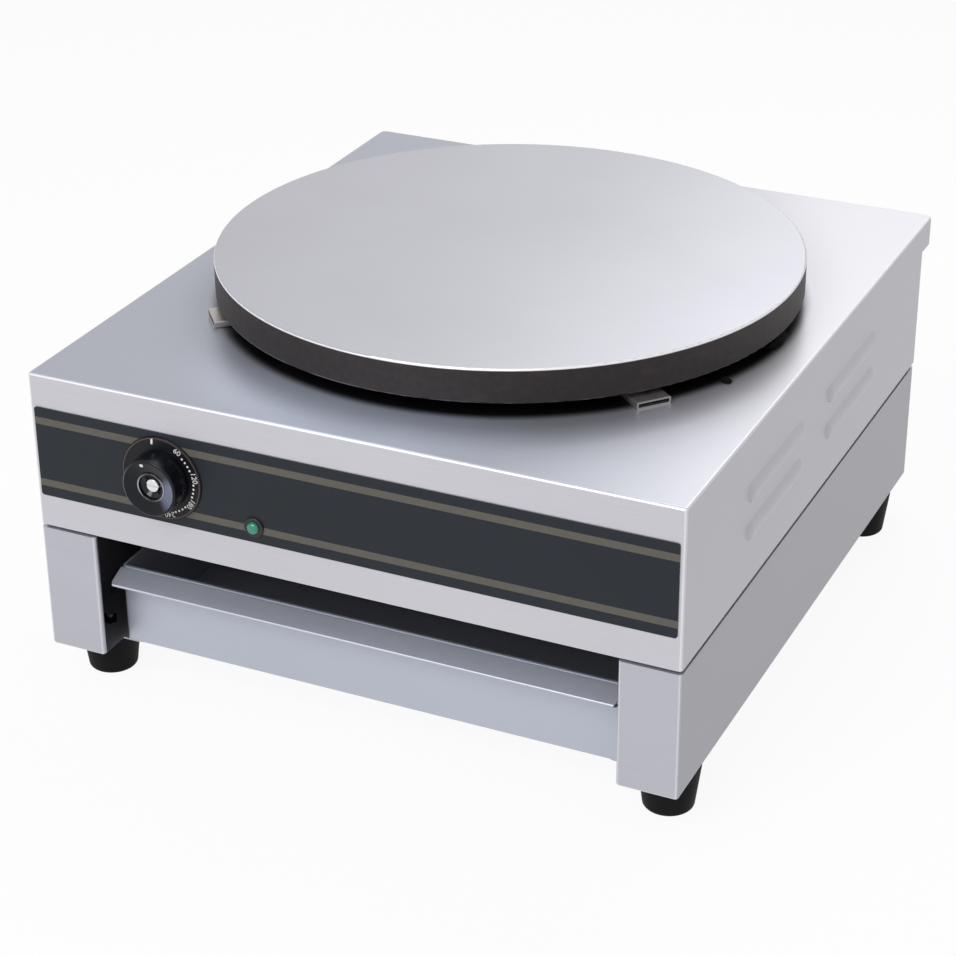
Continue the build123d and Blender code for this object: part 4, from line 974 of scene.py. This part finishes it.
def half_width(node: str) -> float:
    """Half of a CAD node's size along X, such as a round one's radius."""
    low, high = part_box(node)
    return (high.x - low.x) / 2


def islands(node: str) -> list[tuple[Vector, Vector]]:
    """Boxes of the separate solids in a CAD node.

    Args:
        node: The node's name.

    Returns:
        Lowest and highest corner of each solid, in a steady order.
    """
    mesh = bmesh.new()
    mesh.from_mesh(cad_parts[node].data)
    bmesh.ops.remove_doubles(mesh, verts=mesh.verts, dist=1e-6)
    boxes, seen = [], set()
    for first in mesh.verts:
        if first in seen:
            continue
        pending, points = [first], []
        seen.add(first)
        while pending:
            vertex = pending.pop()
            points.append(vertex.co.copy())
            for edge in vertex.link_edges:
                other = edge.other_vert(vertex)
                if other not in seen:
                    seen.add(other)
                    pending.append(other)
        low = Vector(min(p[i] for p in points) for i in range(3))
        high = Vector(max(p[i] for p in points) for i in range(3))
        boxes.append((low, high))
    mesh.free()
    return sorted(boxes, key=lambda box: tuple(round(c, 5) for c in box[0]))


# ------------------------------------------------------------------ sub-assemblies
class SubAssembly:
    """A group of nodes and pieces that belong together."""

    wears: ClassVar[dict[str, Finish]] = {}

    def finishes(self) -> dict[str, Finish]:
        """Finish of each CAD node that stays in view."""
        return self.wears

    def dress(self) -> None:
        """Put each node's finish on it and report it."""
        for node, finish in self.finishes().items():
            finish.dress(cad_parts[node])
            LOG.info("node %s wears %s", node, finish.name)

    def build(self) -> None:
        """Make the pieces that the frame lacks."""


class Heading(Enum):
    """Which way the heads of a set of screws look."""

    BACK = "to the back"
    DOWN = "down"


@dataclass(frozen=True)
class CrossScrew:
    """Pan-head screw with a cross recess, made along +Z with its seat at z = 0."""

    head_d: float = 7.6
    head_h: float = 2.4
    dome_share: float = 0.6
    shank_d: float = 4.0
    pitch: float = 0.7
    recess_w: float = 1.0
    recess_span: float = 4.2
    recess_depth: float = 1.5

    def head_profile(self) -> list[Point]:
        """Outline of the head, from its axis round its domed edge."""
        r, h = self.head_d / 2 * MM, self.head_h * MM
        bend = self.dome_share * h
        return [(0, 0), (r, 0), *arc((r - bend, h - bend), bend, 0, 90, 6), (0, h)]

    def mesh(self, shank: float) -> bmesh.types.BMesh:
        """Build one screw.

        Args:
            shank: Length of the shank behind the seat, in metres.

        Returns:
            The mesh, head up.
        """
        half, wide = self.recess_span / 2 * MM, self.recess_w / 2 * MM
        cross = [(half, -wide), (half, wide), (wide, wide), (wide, half), (-wide, half),
                 (-wide, wide), (-half, wide), (-half, -wide), (-wide, -wide), (-wide, -half),
                 (wide, -half), (wide, -wide)]
        cutter = flat_shape(cross, 2 * self.recess_depth * MM)
        bmesh.ops.translate(cutter, verts=cutter.verts,
                            vec=(0, 0, (self.head_h + self.recess_depth) * MM))
        head = subtract(lathe(self.head_profile(), 32), cutter)
        thread = threaded(self.shank_d / 2 * MM, -shank, 0, self.pitch * MM, segments=20)
        return merge([head, thread])

    def stand_in(self, node: str, label: str, heading: Heading) -> None:
        """Put a screw in the place of each solid of a node.

        Args:
            node: The CAD node that holds the set of screws.
            label: Start of the new pieces' names.
            heading: Which way the heads look.
        """
        for i, (low, high) in enumerate(islands(node)):
            seat = (low + high) / 2
            if heading is Heading.BACK:
                seat.y = high.y - self.head_h * MM
                mesh = self.mesh(seat.y - low.y)
                mesh.transform(to_back(seat))
            else:
                seat.z = low.z + self.head_h * MM
                mesh = self.mesh(high.z - seat.z)
                mesh.transform(Matrix.Translation(seat) @ Matrix.Rotation(math.pi, 4, "X"))
            add_piece(f"{label}_{i + 1}", mesh, ZINC, Body.CHASSIS, [node])


@dataclass
class Housing(SubAssembly):
    """Folded upper housing with its rear panel, floor and screws."""

    screw: CrossScrew = CrossScrew()
    end_fold_mm: float = 12.0
    top_fold_mm: float = 6.0

    def finishes(self) -> dict[str, Finish]:
        """Finish of each sheet of the housing."""
        low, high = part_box("top_cover")
        cover = CoverSteel("cover_steel", HOUSING_STEEL.colour,
                           side_shade_level=HOUSING_STEEL.side_shade_level, top_shade_tint=HOUSING_STEEL.top_shade_tint,
                           axis_y=centre_of("griddle_plate").y,
                           radius=half_width("griddle_plate"),
                           fold_y=-low.y - self.end_fold_mm * MM,
                           fold_z=high.z - self.top_fold_mm * MM)
        return {"top_cover": cover, "rear_panel": HOUSING_STEEL, "floor_pan": INNER_STEEL,
                "seam_gasket": GASKET_RUBBER, "seam_nuts": ZINC}

    def build(self) -> None:
        """Make the rear screws and the seam screws with cross recesses."""
        self.screw.stand_in("rear_screws", "rear_screw", Heading.BACK)
        self.screw.stand_in("seam_screws", "seam_screw", Heading.DOWN)


@dataclass
class ControlPanel(SubAssembly):
    """Striped overlay and the round dial with its generic scale."""

    off_deg: float = 103.0
    tick_turn_deg: float = 84.0
    first_deg: float = 58.5
    step_deg: float = 45.9
    numbers: tuple[str, ...] = ("60", "120", "180", "240", "300")
    number_ring_mm: float = 24.9
    number_mm: float = 5.3
    dots_between: int = 4
    dot_mm: float = 1.5
    dot_sides: int = 24
    dot_ring_mm: float = 23.7
    dot_pitch_deg: float = 7.2
    tick_mm: Span = (24.0, 27.8)
    tick_width_mm: float = 1.5
    stop_deg: float = 190.0
    stop_ring_mm: float = 25.0
    stop_size_mm: tuple[float, float] = (2.2, 0.7)
    ink_mm: float = 0.05
    outline_mm: float = 0.45
    outline_setin_mm: float = 0.9

    def finishes(self) -> dict[str, Finish]:
        """Finish of the overlay and the dial plate."""
        low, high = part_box("control_overlay")
        film = StripedFilm("striped_film", low.z, high.z)
        return {"control_overlay": film, "dial_plate": DIAL_BLACK}

    def on_dial(self, mesh: bmesh.types.BMesh, radius_mm: float, angle_deg: float,
                turn_deg: float) -> bmesh.types.BMesh:
        """Lay a flat shape on the dial.

        Args:
            mesh: Shape in XY with its top at z = 0.
            radius_mm: Distance of its origin from the dial's axis.
            angle_deg: Angle round the dial, anticlockwise from the right.
            turn_deg: How far the shape itself is turned.

        Returns:
            The same mesh, in place.
        """
        low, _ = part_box("dial_plate")
        centre = centre_of("dial_plate")
        centre.y = low.y - self.ink_mm * MM
        angle = math.radians(angle_deg)
        shift = Matrix.Translation(
            (radius_mm * MM * math.cos(angle), radius_mm * MM * math.sin(angle), 0))
        mesh.transform(to_front(centre) @ shift @ Matrix.Rotation(math.radians(turn_deg), 4, "Z"))
        return mesh

    def disc(self, diameter_mm: float) -> bmesh.types.BMesh:
        """Small printed dot."""
        sides = self.dot_sides
        ring = arc((0, 0), diameter_mm / 2 * MM, 0, 360 - 360 / sides, sides - 1)
        return flat_shape(ring, self.ink_mm * MM)

    def bar(self, length_mm: float, width_mm: float) -> bmesh.types.BMesh:
        """Short printed line along X, starting at the origin."""
        length, half = length_mm * MM, width_mm / 2 * MM
        return flat_shape([(0, -half), (length, -half), (length, half), (0, half)],
                          self.ink_mm * MM)

    def figure(self, text: str) -> bmesh.types.BMesh:
        """Printed number.

        Args:
            text: Its digits.

        Returns:
            The digits as one thin mesh about the origin.
        """
        curve = bpy.data.curves.new("figure", "FONT")
        curve.body = text
        curve.size = self.number_mm * MM
        curve.align_x = "CENTER"
        curve.align_y = "CENTER"
        curve.extrude = self.ink_mm / 2 * MM
        holder = add_object("figure", curve)
        mesh = worked_out(holder)
        bpy.data.objects.remove(holder)
        bpy.data.curves.remove(curve)
        bmesh.ops.translate(mesh, verts=mesh.verts, vec=(0, 0, -self.ink_mm / 2 * MM))
        return mesh

    def print_on(self, name: str, mesh: bmesh.types.BMesh, ink: Ink = WHITE_INK) -> None:
        """Add one print of the dial."""
        add_piece(name, mesh, ink, Body.CHASSIS)

    def build(self) -> None:
        """Print the scale: off tick, numbers, dots, end mark and outline."""
        start, end = self.tick_mm
        tick = self.bar(end - start, self.tick_width_mm)
        self.print_on("dial_off_tick",
                      self.on_dial(tick, start, self.off_deg, self.tick_turn_deg))
        dots = []
        for i, text in enumerate(self.numbers):
            angle = self.first_deg - self.step_deg * i
            figure = self.on_dial(self.figure(text), self.number_ring_mm, angle, angle - 90)
            self.print_on(f"dial_number_{text}", figure)
            if i + 1 < len(self.numbers):
                middle = angle - self.step_deg / 2
                for k in range(self.dots_between):
                    place = middle + self.dot_pitch_deg * (k - (self.dots_between - 1) / 2)
                    dots.append(self.on_dial(self.disc(self.dot_mm), self.dot_ring_mm, place, 0))
        self.print_on("dial_dots", merge(dots))
        stop = self.bar(*self.stop_size_mm)
        self.print_on("dial_end_mark",
                      self.on_dial(stop, self.stop_ring_mm, self.stop_deg, self.stop_deg), GREY_INK)
        edge = half_width("dial_plate") - self.outline_setin_mm * MM
        inner = edge - self.outline_mm * MM
        ring = lathe([(inner, -self.ink_mm * MM), (edge, -self.ink_mm * MM), (edge, 0),
                      (inner, 0)], 96)
        self.print_on("dial_outline", self.on_dial(ring, 0, 0, 0), OUTLINE_INK)


@dataclass
class Knob(SubAssembly):
    """Dished knob with a rounded lip round its recess and a pointer dot."""

    dot_mm: float = 2.5
    dot_h_mm: float = 0.1
    dot_setin_mm: float = 0.6
    pointer_deg: float = 106.0
    button_mm: float = 8.8
    dish_mm: float = 2.6
    rim_mm: float = 1.6
    recess_mm: float = 17.0
    wall_mm: float = 1.8
    face_mm: float = 38.6
    lip_mm: float = 0.7

    def finishes(self) -> dict[str, Finish]:
        """Finish of the knob, its insert and its shaft."""
        centre, (low, _) = centre_of("knob_insert"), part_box("knob_insert")
        plated = PlatedButton("plated_button", centre.x, centre.z, low.y + self.rim_mm * MM,
                              self.button_mm / 2 * MM)
        return {"thermostat_knob": KNOB_BLACK, "knob_insert": plated, "thermostat_shaft": ZINC}

    def build(self) -> None:
        """Make the lip round the recess and the pointer dot beside the rim."""
        low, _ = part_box("thermostat_knob")
        centre = centre_of("thermostat_knob")
        centre.y = low.y
        ring = (self.recess_mm + self.wall_mm) / 2 * MM
        lip = lathe(arc((ring, -self.dish_mm * MM), self.lip_mm * MM, 0, 330, 11), 96)
        lip.transform(to_front(centre))
        add_piece("knob_recess_lip", lip, LIP_BLACK, Body.KNOB, smooth_deg=60)
        outer = self.face_mm / 2 - self.rim_mm
        fall = self.dish_mm / (outer - self.recess_mm / 2 - self.wall_mm)
        setin = self.dot_mm / 2 + self.dot_setin_mm
        r, h = self.dot_mm / 2 * MM, self.dot_h_mm * MM
        dot = lathe([(0, 0), (r, 0), (r, h), (0, h)], 24)
        dot.transform(to_front(centre)
                      @ Matrix.Rotation(math.radians(self.pointer_deg), 4, "Z")
                      @ Matrix.Translation(((outer - setin) * MM, 0, -fall * setin * MM))
                      @ Matrix.Rotation(-math.atan(fall), 4, "Y"))
        add_piece("knob_pointer_dot", dot, WHITE_INK, Body.KNOB)


@dataclass
class PilotLamp(SubAssembly):
    """Green lamp in its dark collar."""

    wears = {"pilot_lamp_body": LAMP_BLACK, "pilot_lamp_lens": GREEN_LENS}


@dataclass
class Thermostat(SubAssembly):
    """Switch block behind the panel, with its sensor."""

    wears = {"thermostat_plate": BRACKET_STEEL, "thermostat_body": SWITCH_GREY,
             "thermostat_screws": ZINC, "sensor_tube": COPPER}


@dataclass(frozen=True)
class Tuft:
    """Dark lump beside the rim, shaped as torn insulation; the larger one stands for deep shade
    under the rim.

    Its size is across the rim, along the rim and up. Its middle lies setin_mm inside the rim.
    """

    angle_deg: float
    size_mm: Triple
    setin_mm: float
    uneven: float = 0.13
    middle_share: float = 0.4


@dataclass
class Griddle(SubAssembly):
    """Griddle plate on its brackets, with dark lumps beside its rim, the larger standing for deep
    shade under it.
    """

    tufts: tuple[Tuft, ...] = (Tuft(-4.0, (13.0, 27.0, 9.0), 5.5),
                               Tuft(-23.5, (8.0, 6.0, 3.5), -3.0))
    seed: int = 7

    def finishes(self) -> dict[str, Finish]:
        """Finish of the plate, its supports and its studs."""
        plate = GriddleFinish("griddle_surface", axis_y=centre_of("griddle_plate").y,
                              rim_low=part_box("support_bracket_front_right")[1].z,
                              top=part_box("griddle_plate")[1].z)
        brackets = {node: BRACKET_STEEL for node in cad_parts
                    if node.startswith("support_bracket")}
        return {"griddle_plate": plate, "plate_studs": ZINC, "plate_nuts": ZINC, **brackets}

    def lump(self, tuft: Tuft, draw: random.Random) -> bmesh.types.BMesh:
        """Shape one tuft and lay it on the housing.

        Args:
            tuft: Its size and place.
            draw: Source of its unevenness.

        Returns:
            A lumpy mesh in place.
        """
        mesh = bmesh.new()
        bmesh.ops.create_icosphere(mesh, subdivisions=3, radius=0.5)
        size = Vector(tuft.size_mm) * MM
        for vertex in mesh.verts:
            vertex.co *= 1 + draw.uniform(-tuft.uneven, tuft.uneven)
            vertex.co *= size
        turn = Matrix.Rotation(math.radians(tuft.angle_deg), 4, "Z")
        reach = Vector((half_width("griddle_plate") - tuft.setin_mm * MM, 0, 0))
        place = centre_of("griddle_plate") + turn @ reach
        place.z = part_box("top_cover")[1].z + size.z * tuft.middle_share
        mesh.transform(Matrix.Translation(place) @ turn)
        return mesh

    def build(self) -> None:
        """Make the tufts."""
        draw = random.Random(self.seed)
        for i, tuft in enumerate(self.tufts):
            # dark lumps beside the rim; the larger stands for deep shade under it
            add_piece(f"dark_tuft_{i + 1}", self.lump(tuft, draw), DARK_WOOL,
                      Body.CHASSIS, smooth_deg=80)


@dataclass
class HeatingPack(SubAssembly):
    """Elements, clamp disc, insulation and pan under the plate."""

    wears = {"heating_element_outer": DARK_SHEATH, "heating_element_inner": DARK_SHEATH,
             "element_terminals": CERAMIC, "clamp_disc": CLAMP_STEEL, "insulation_mat": WOOL,
             "reflector_pan": ALUMINIUM, "clamp_stud": ZINC, "clamp_nut": ZINC}


@dataclass
class Base(SubAssembly):
    """Open base: two folded sides and a rear panel, with their screws."""

    wears = {"base_side_left": BASE_STEEL, "base_side_right": BASE_STEEL,
             "base_rear_panel": BASE_STEEL}
    screw: CrossScrew = CrossScrew()

    def build(self) -> None:
        """Make the screws in the rear legs."""
        self.screw.stand_in("base_rear_screws", "base_screw", Heading.BACK)


@dataclass
class DripTray(SubAssembly):
    """Folded tray on its runners."""

    wears = {"drip_tray": TRAY_STEEL}


@dataclass
class Feet(SubAssembly):
    """Rubber feet with their screws and nuts."""

    wears = {"foot_front_left": FOOT_RUBBER, "foot_front_right": FOOT_RUBBER,
             "foot_rear_left": FOOT_RUBBER, "foot_rear_right": FOOT_RUBBER,
             "foot_screws": ZINC, "foot_nuts": BLACK_OXIDE}


@dataclass
class Supply(SubAssembly):
    """Cable gland, earth stud, terminal block and leads."""

    wears = {"gland_nut": GLAND_BLACK, "earth_nuts": BRASS, "terminal_block": CERAMIC,
             "wiring": SLEEVE}
    flutes: int = 12
    flute_steps: int = 12
    flute_mm: float = 0.35
    bore_mm: float = 10.0
    thread_mm: float = 16.0
    thread_pitch_mm: float = 1.5
    hex_mm: float = 22.0
    hex_h_mm: float = 5.0
    chamfer_mm: float = 0.5
    dome_mm: float = 19.0
    stud_pitch_mm: float = 1.0

    def gland(self) -> None:
        """Make the gland with a hexagon, a fluted dome nut and a threaded sleeve."""
        low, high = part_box("cable_gland")
        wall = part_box("rear_panel")[1].y
        centre = centre_of("cable_gland")
        seat = Vector((centre.x, wall, centre.z))
        bore, top, hex_h = self.bore_mm / 2 * MM, high.y - wall, self.hex_h_mm * MM
        sleeve = threaded(self.thread_mm / 2 * MM, low.y - wall, hex_h / 2,
                          self.thread_pitch_mm * MM, bore)
        corner, cut = self.hex_mm / 2 * MM / math.cos(math.pi / 6), self.chamfer_mm * MM
        hexagon = lathe([(bore, 0), (corner - cut, 0), (corner, cut), (corner, hex_h - cut),
                         (corner - cut, hex_h), (bore, hex_h)], 6)
        dome = self.dome_mm / 2 * MM
        bend = (top - hex_h) / 2
        profile = [(bore, hex_h), (dome, hex_h), *arc((dome - bend, top - bend), bend, 0, 90, 8),
                   (bore, top)]

        def flute(turn: float, height: float) -> float:
            """Depth of the grip's flutes, fading out over the dome."""
            fade = max(0.0, min(1.0, (top - height) / bend))
            return -self.flute_mm * MM * fade * (0.5 - 0.5 * math.cos(self.flutes * turn))

        nut = lathe(profile, self.flutes * self.flute_steps, flute)
        hole = lathe([(0, -top), (bore, -top), (bore, 2 * top), (0, 2 * top)], 48)
        whole = merge([sleeve, subtract(merge([hexagon, nut]), hole)])
        whole.transform(to_back(seat))
        add_piece("gland_with_dome_nut", whole, GLAND_BLACK, Body.CHASSIS,
                  ["cable_gland"])

    def build(self) -> None:
        """Make the gland and the threaded earth stud."""
        self.gland()
        low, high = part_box("earth_stud")
        centre = centre_of("earth_stud")
        stud = threaded(half_width("earth_stud"), low.y - centre.y, high.y - centre.y,
                        self.stud_pitch_mm * MM)
        stud.transform(to_back(centre))
        add_piece("earth_stud_threaded", stud, BRASS, Body.CHASSIS, ["earth_stud"])


# -------------------------------------------------------------------------- studio
@dataclass
class SoftBox:
    """Square area lamp that looks at a point."""

    name: str
    place: Triple
    aim: Triple
    size: float
    watts: float

    def build(self) -> None:
        """Add the lamp."""
        data = bpy.data.lights.new(self.name, "AREA")
        data.shape = "SQUARE"
        data.size = self.size
        data.energy = self.watts
        lamp = add_object(self.name, data)
        lamp.location = self.place
        look = Vector(self.aim) - Vector(self.place)
        lamp.rotation_euler = look.to_track_quat("-Z", "Y").to_euler()


@dataclass
class Studio:
    """Plain floor, white surroundings, soft lamps and the camera."""

    azimuth: float = 25.25
    elevation: float = 27.41
    roll: float = -0.41
    distance: float = 1.802
    target: Triple = (-0.020, -0.0023, 0.088)
    focal_mm: float = 95.7
    sensor_mm: float = 36.0
    floor_size: float = 8.0
    world_level: float = 0.5
    shadow_share: float = 0.08
    lamps: tuple[SoftBox, ...] = (
        SoftBox("key_lamp", (-0.35, -2.1, 1.9), (0, 0, 0.12), 1.3, 36.0),
        SoftBox("back_lamp", (0.06, 0.6, 1.12), (0.15, -0.2, 0.24), 0.6, 3.9),
        SoftBox("rear_lamp", (0.05, 1.25, 0.86), (0.18, 0.1, 0.24), 0.6, 1.1),
    )

    def floor(self) -> None:
        """Lay the pale floor, white to the eye but for a soft shadow."""
        graph = Graph(bpy.data.materials.new("floor_paint"))
        grit = graph.noise(40, 2)
        colour = graph.tint(grit, (0.88, 0.88, 0.88), (0.90, 0.90, 0.90))
        paint = graph.node("ShaderNodeBsdfDiffuse", None, {"Color": colour})
        glow = graph.node("ShaderNodeEmission", None, {"Color": (1, 1, 1, 1), "Strength": 1.0})
        seen = self.seen_directly(graph)
        graph.output(graph.node("ShaderNodeMixShader", None,
                                {0: seen * (1 - self.shadow_share), 1: paint, 2: glow}))
        half = self.floor_size / 2
        mesh = bpy.data.meshes.new("floor")
        mesh.from_pydata([(-half, -half, 0), (half, -half, 0), (half, half, 0), (-half, half, 0)],
                         [], [(0, 1, 2, 3)])
        floor = add_object("floor", mesh)
        floor.data.materials.append(graph.owner)

    @staticmethod
    def seen_directly(graph: Graph) -> Signal:
        """1 for rays from the eye, from a mirror or through glass."""
        camera = graph.node("ShaderNodeLightPath", output="Is Camera Ray")
        glossy = Signal(graph, camera.socket.node.outputs["Is Glossy Ray"])
        through = Signal(graph, camera.socket.node.outputs["Is Transmission Ray"])
        return graph.maths("MINIMUM", camera + glossy + through, 1.0)

    def world(self) -> None:
        """White surroundings that light the object at a lower level."""
        world = bpy.data.worlds.new("studio")
        bpy.context.scene.world = world
        graph = Graph(world)
        strength = self.world_level + self.seen_directly(graph) * (1 - self.world_level)
        background = graph.node("ShaderNodeBackground", None,
                                {"Color": (1, 1, 1, 1), "Strength": strength})
        graph.output(background, "ShaderNodeOutputWorld")

    def camera(self) -> None:
        """Place the camera."""
        a, e, roll = (math.radians(v) for v in (self.azimuth, self.elevation, self.roll))
        back = Vector((math.sin(a) * math.cos(e), -math.cos(a) * math.cos(e), math.sin(e)))
        right = Vector((math.cos(a), math.sin(a), 0))
        up = back.cross(right)
        turned_right = right * math.cos(roll) + up * math.sin(roll)
        turned_up = up * math.cos(roll) - right * math.sin(roll)
        data = bpy.data.cameras.new("camera")
        data.lens = self.focal_mm
        data.sensor_width = self.sensor_mm
        camera = add_object("camera", data)
        rotation = Matrix((turned_right, turned_up, back)).transposed()
        camera.matrix_world = (Matrix.Translation(Vector(self.target) + back * self.distance)
                               @ rotation.to_4x4())
        bpy.context.scene.camera = camera

    def build(self) -> None:
        """Set up everything that isn't the object."""
        self.floor()
        self.world()
        for lamp in self.lamps:
            lamp.build()
        self.camera()
        bpy.context.scene.view_settings.view_transform = "Standard"
        LOG.info("studio is set")


def main() -> None:
    """Build and dress the whole crepe maker, then its studio."""
    logging.basicConfig(level=logging.INFO, format="%(message)s")
    assemblies: tuple[SubAssembly, ...] = (
        Housing(), ControlPanel(), Knob(), PilotLamp(), Thermostat(), Griddle(), HeatingPack(),
        Base(), DripTray(), Feet(), Supply())
    for assembly in assemblies:
        assembly.dress()
        assembly.build()
    Studio().build()


if __name__ == "__main__":
    main()
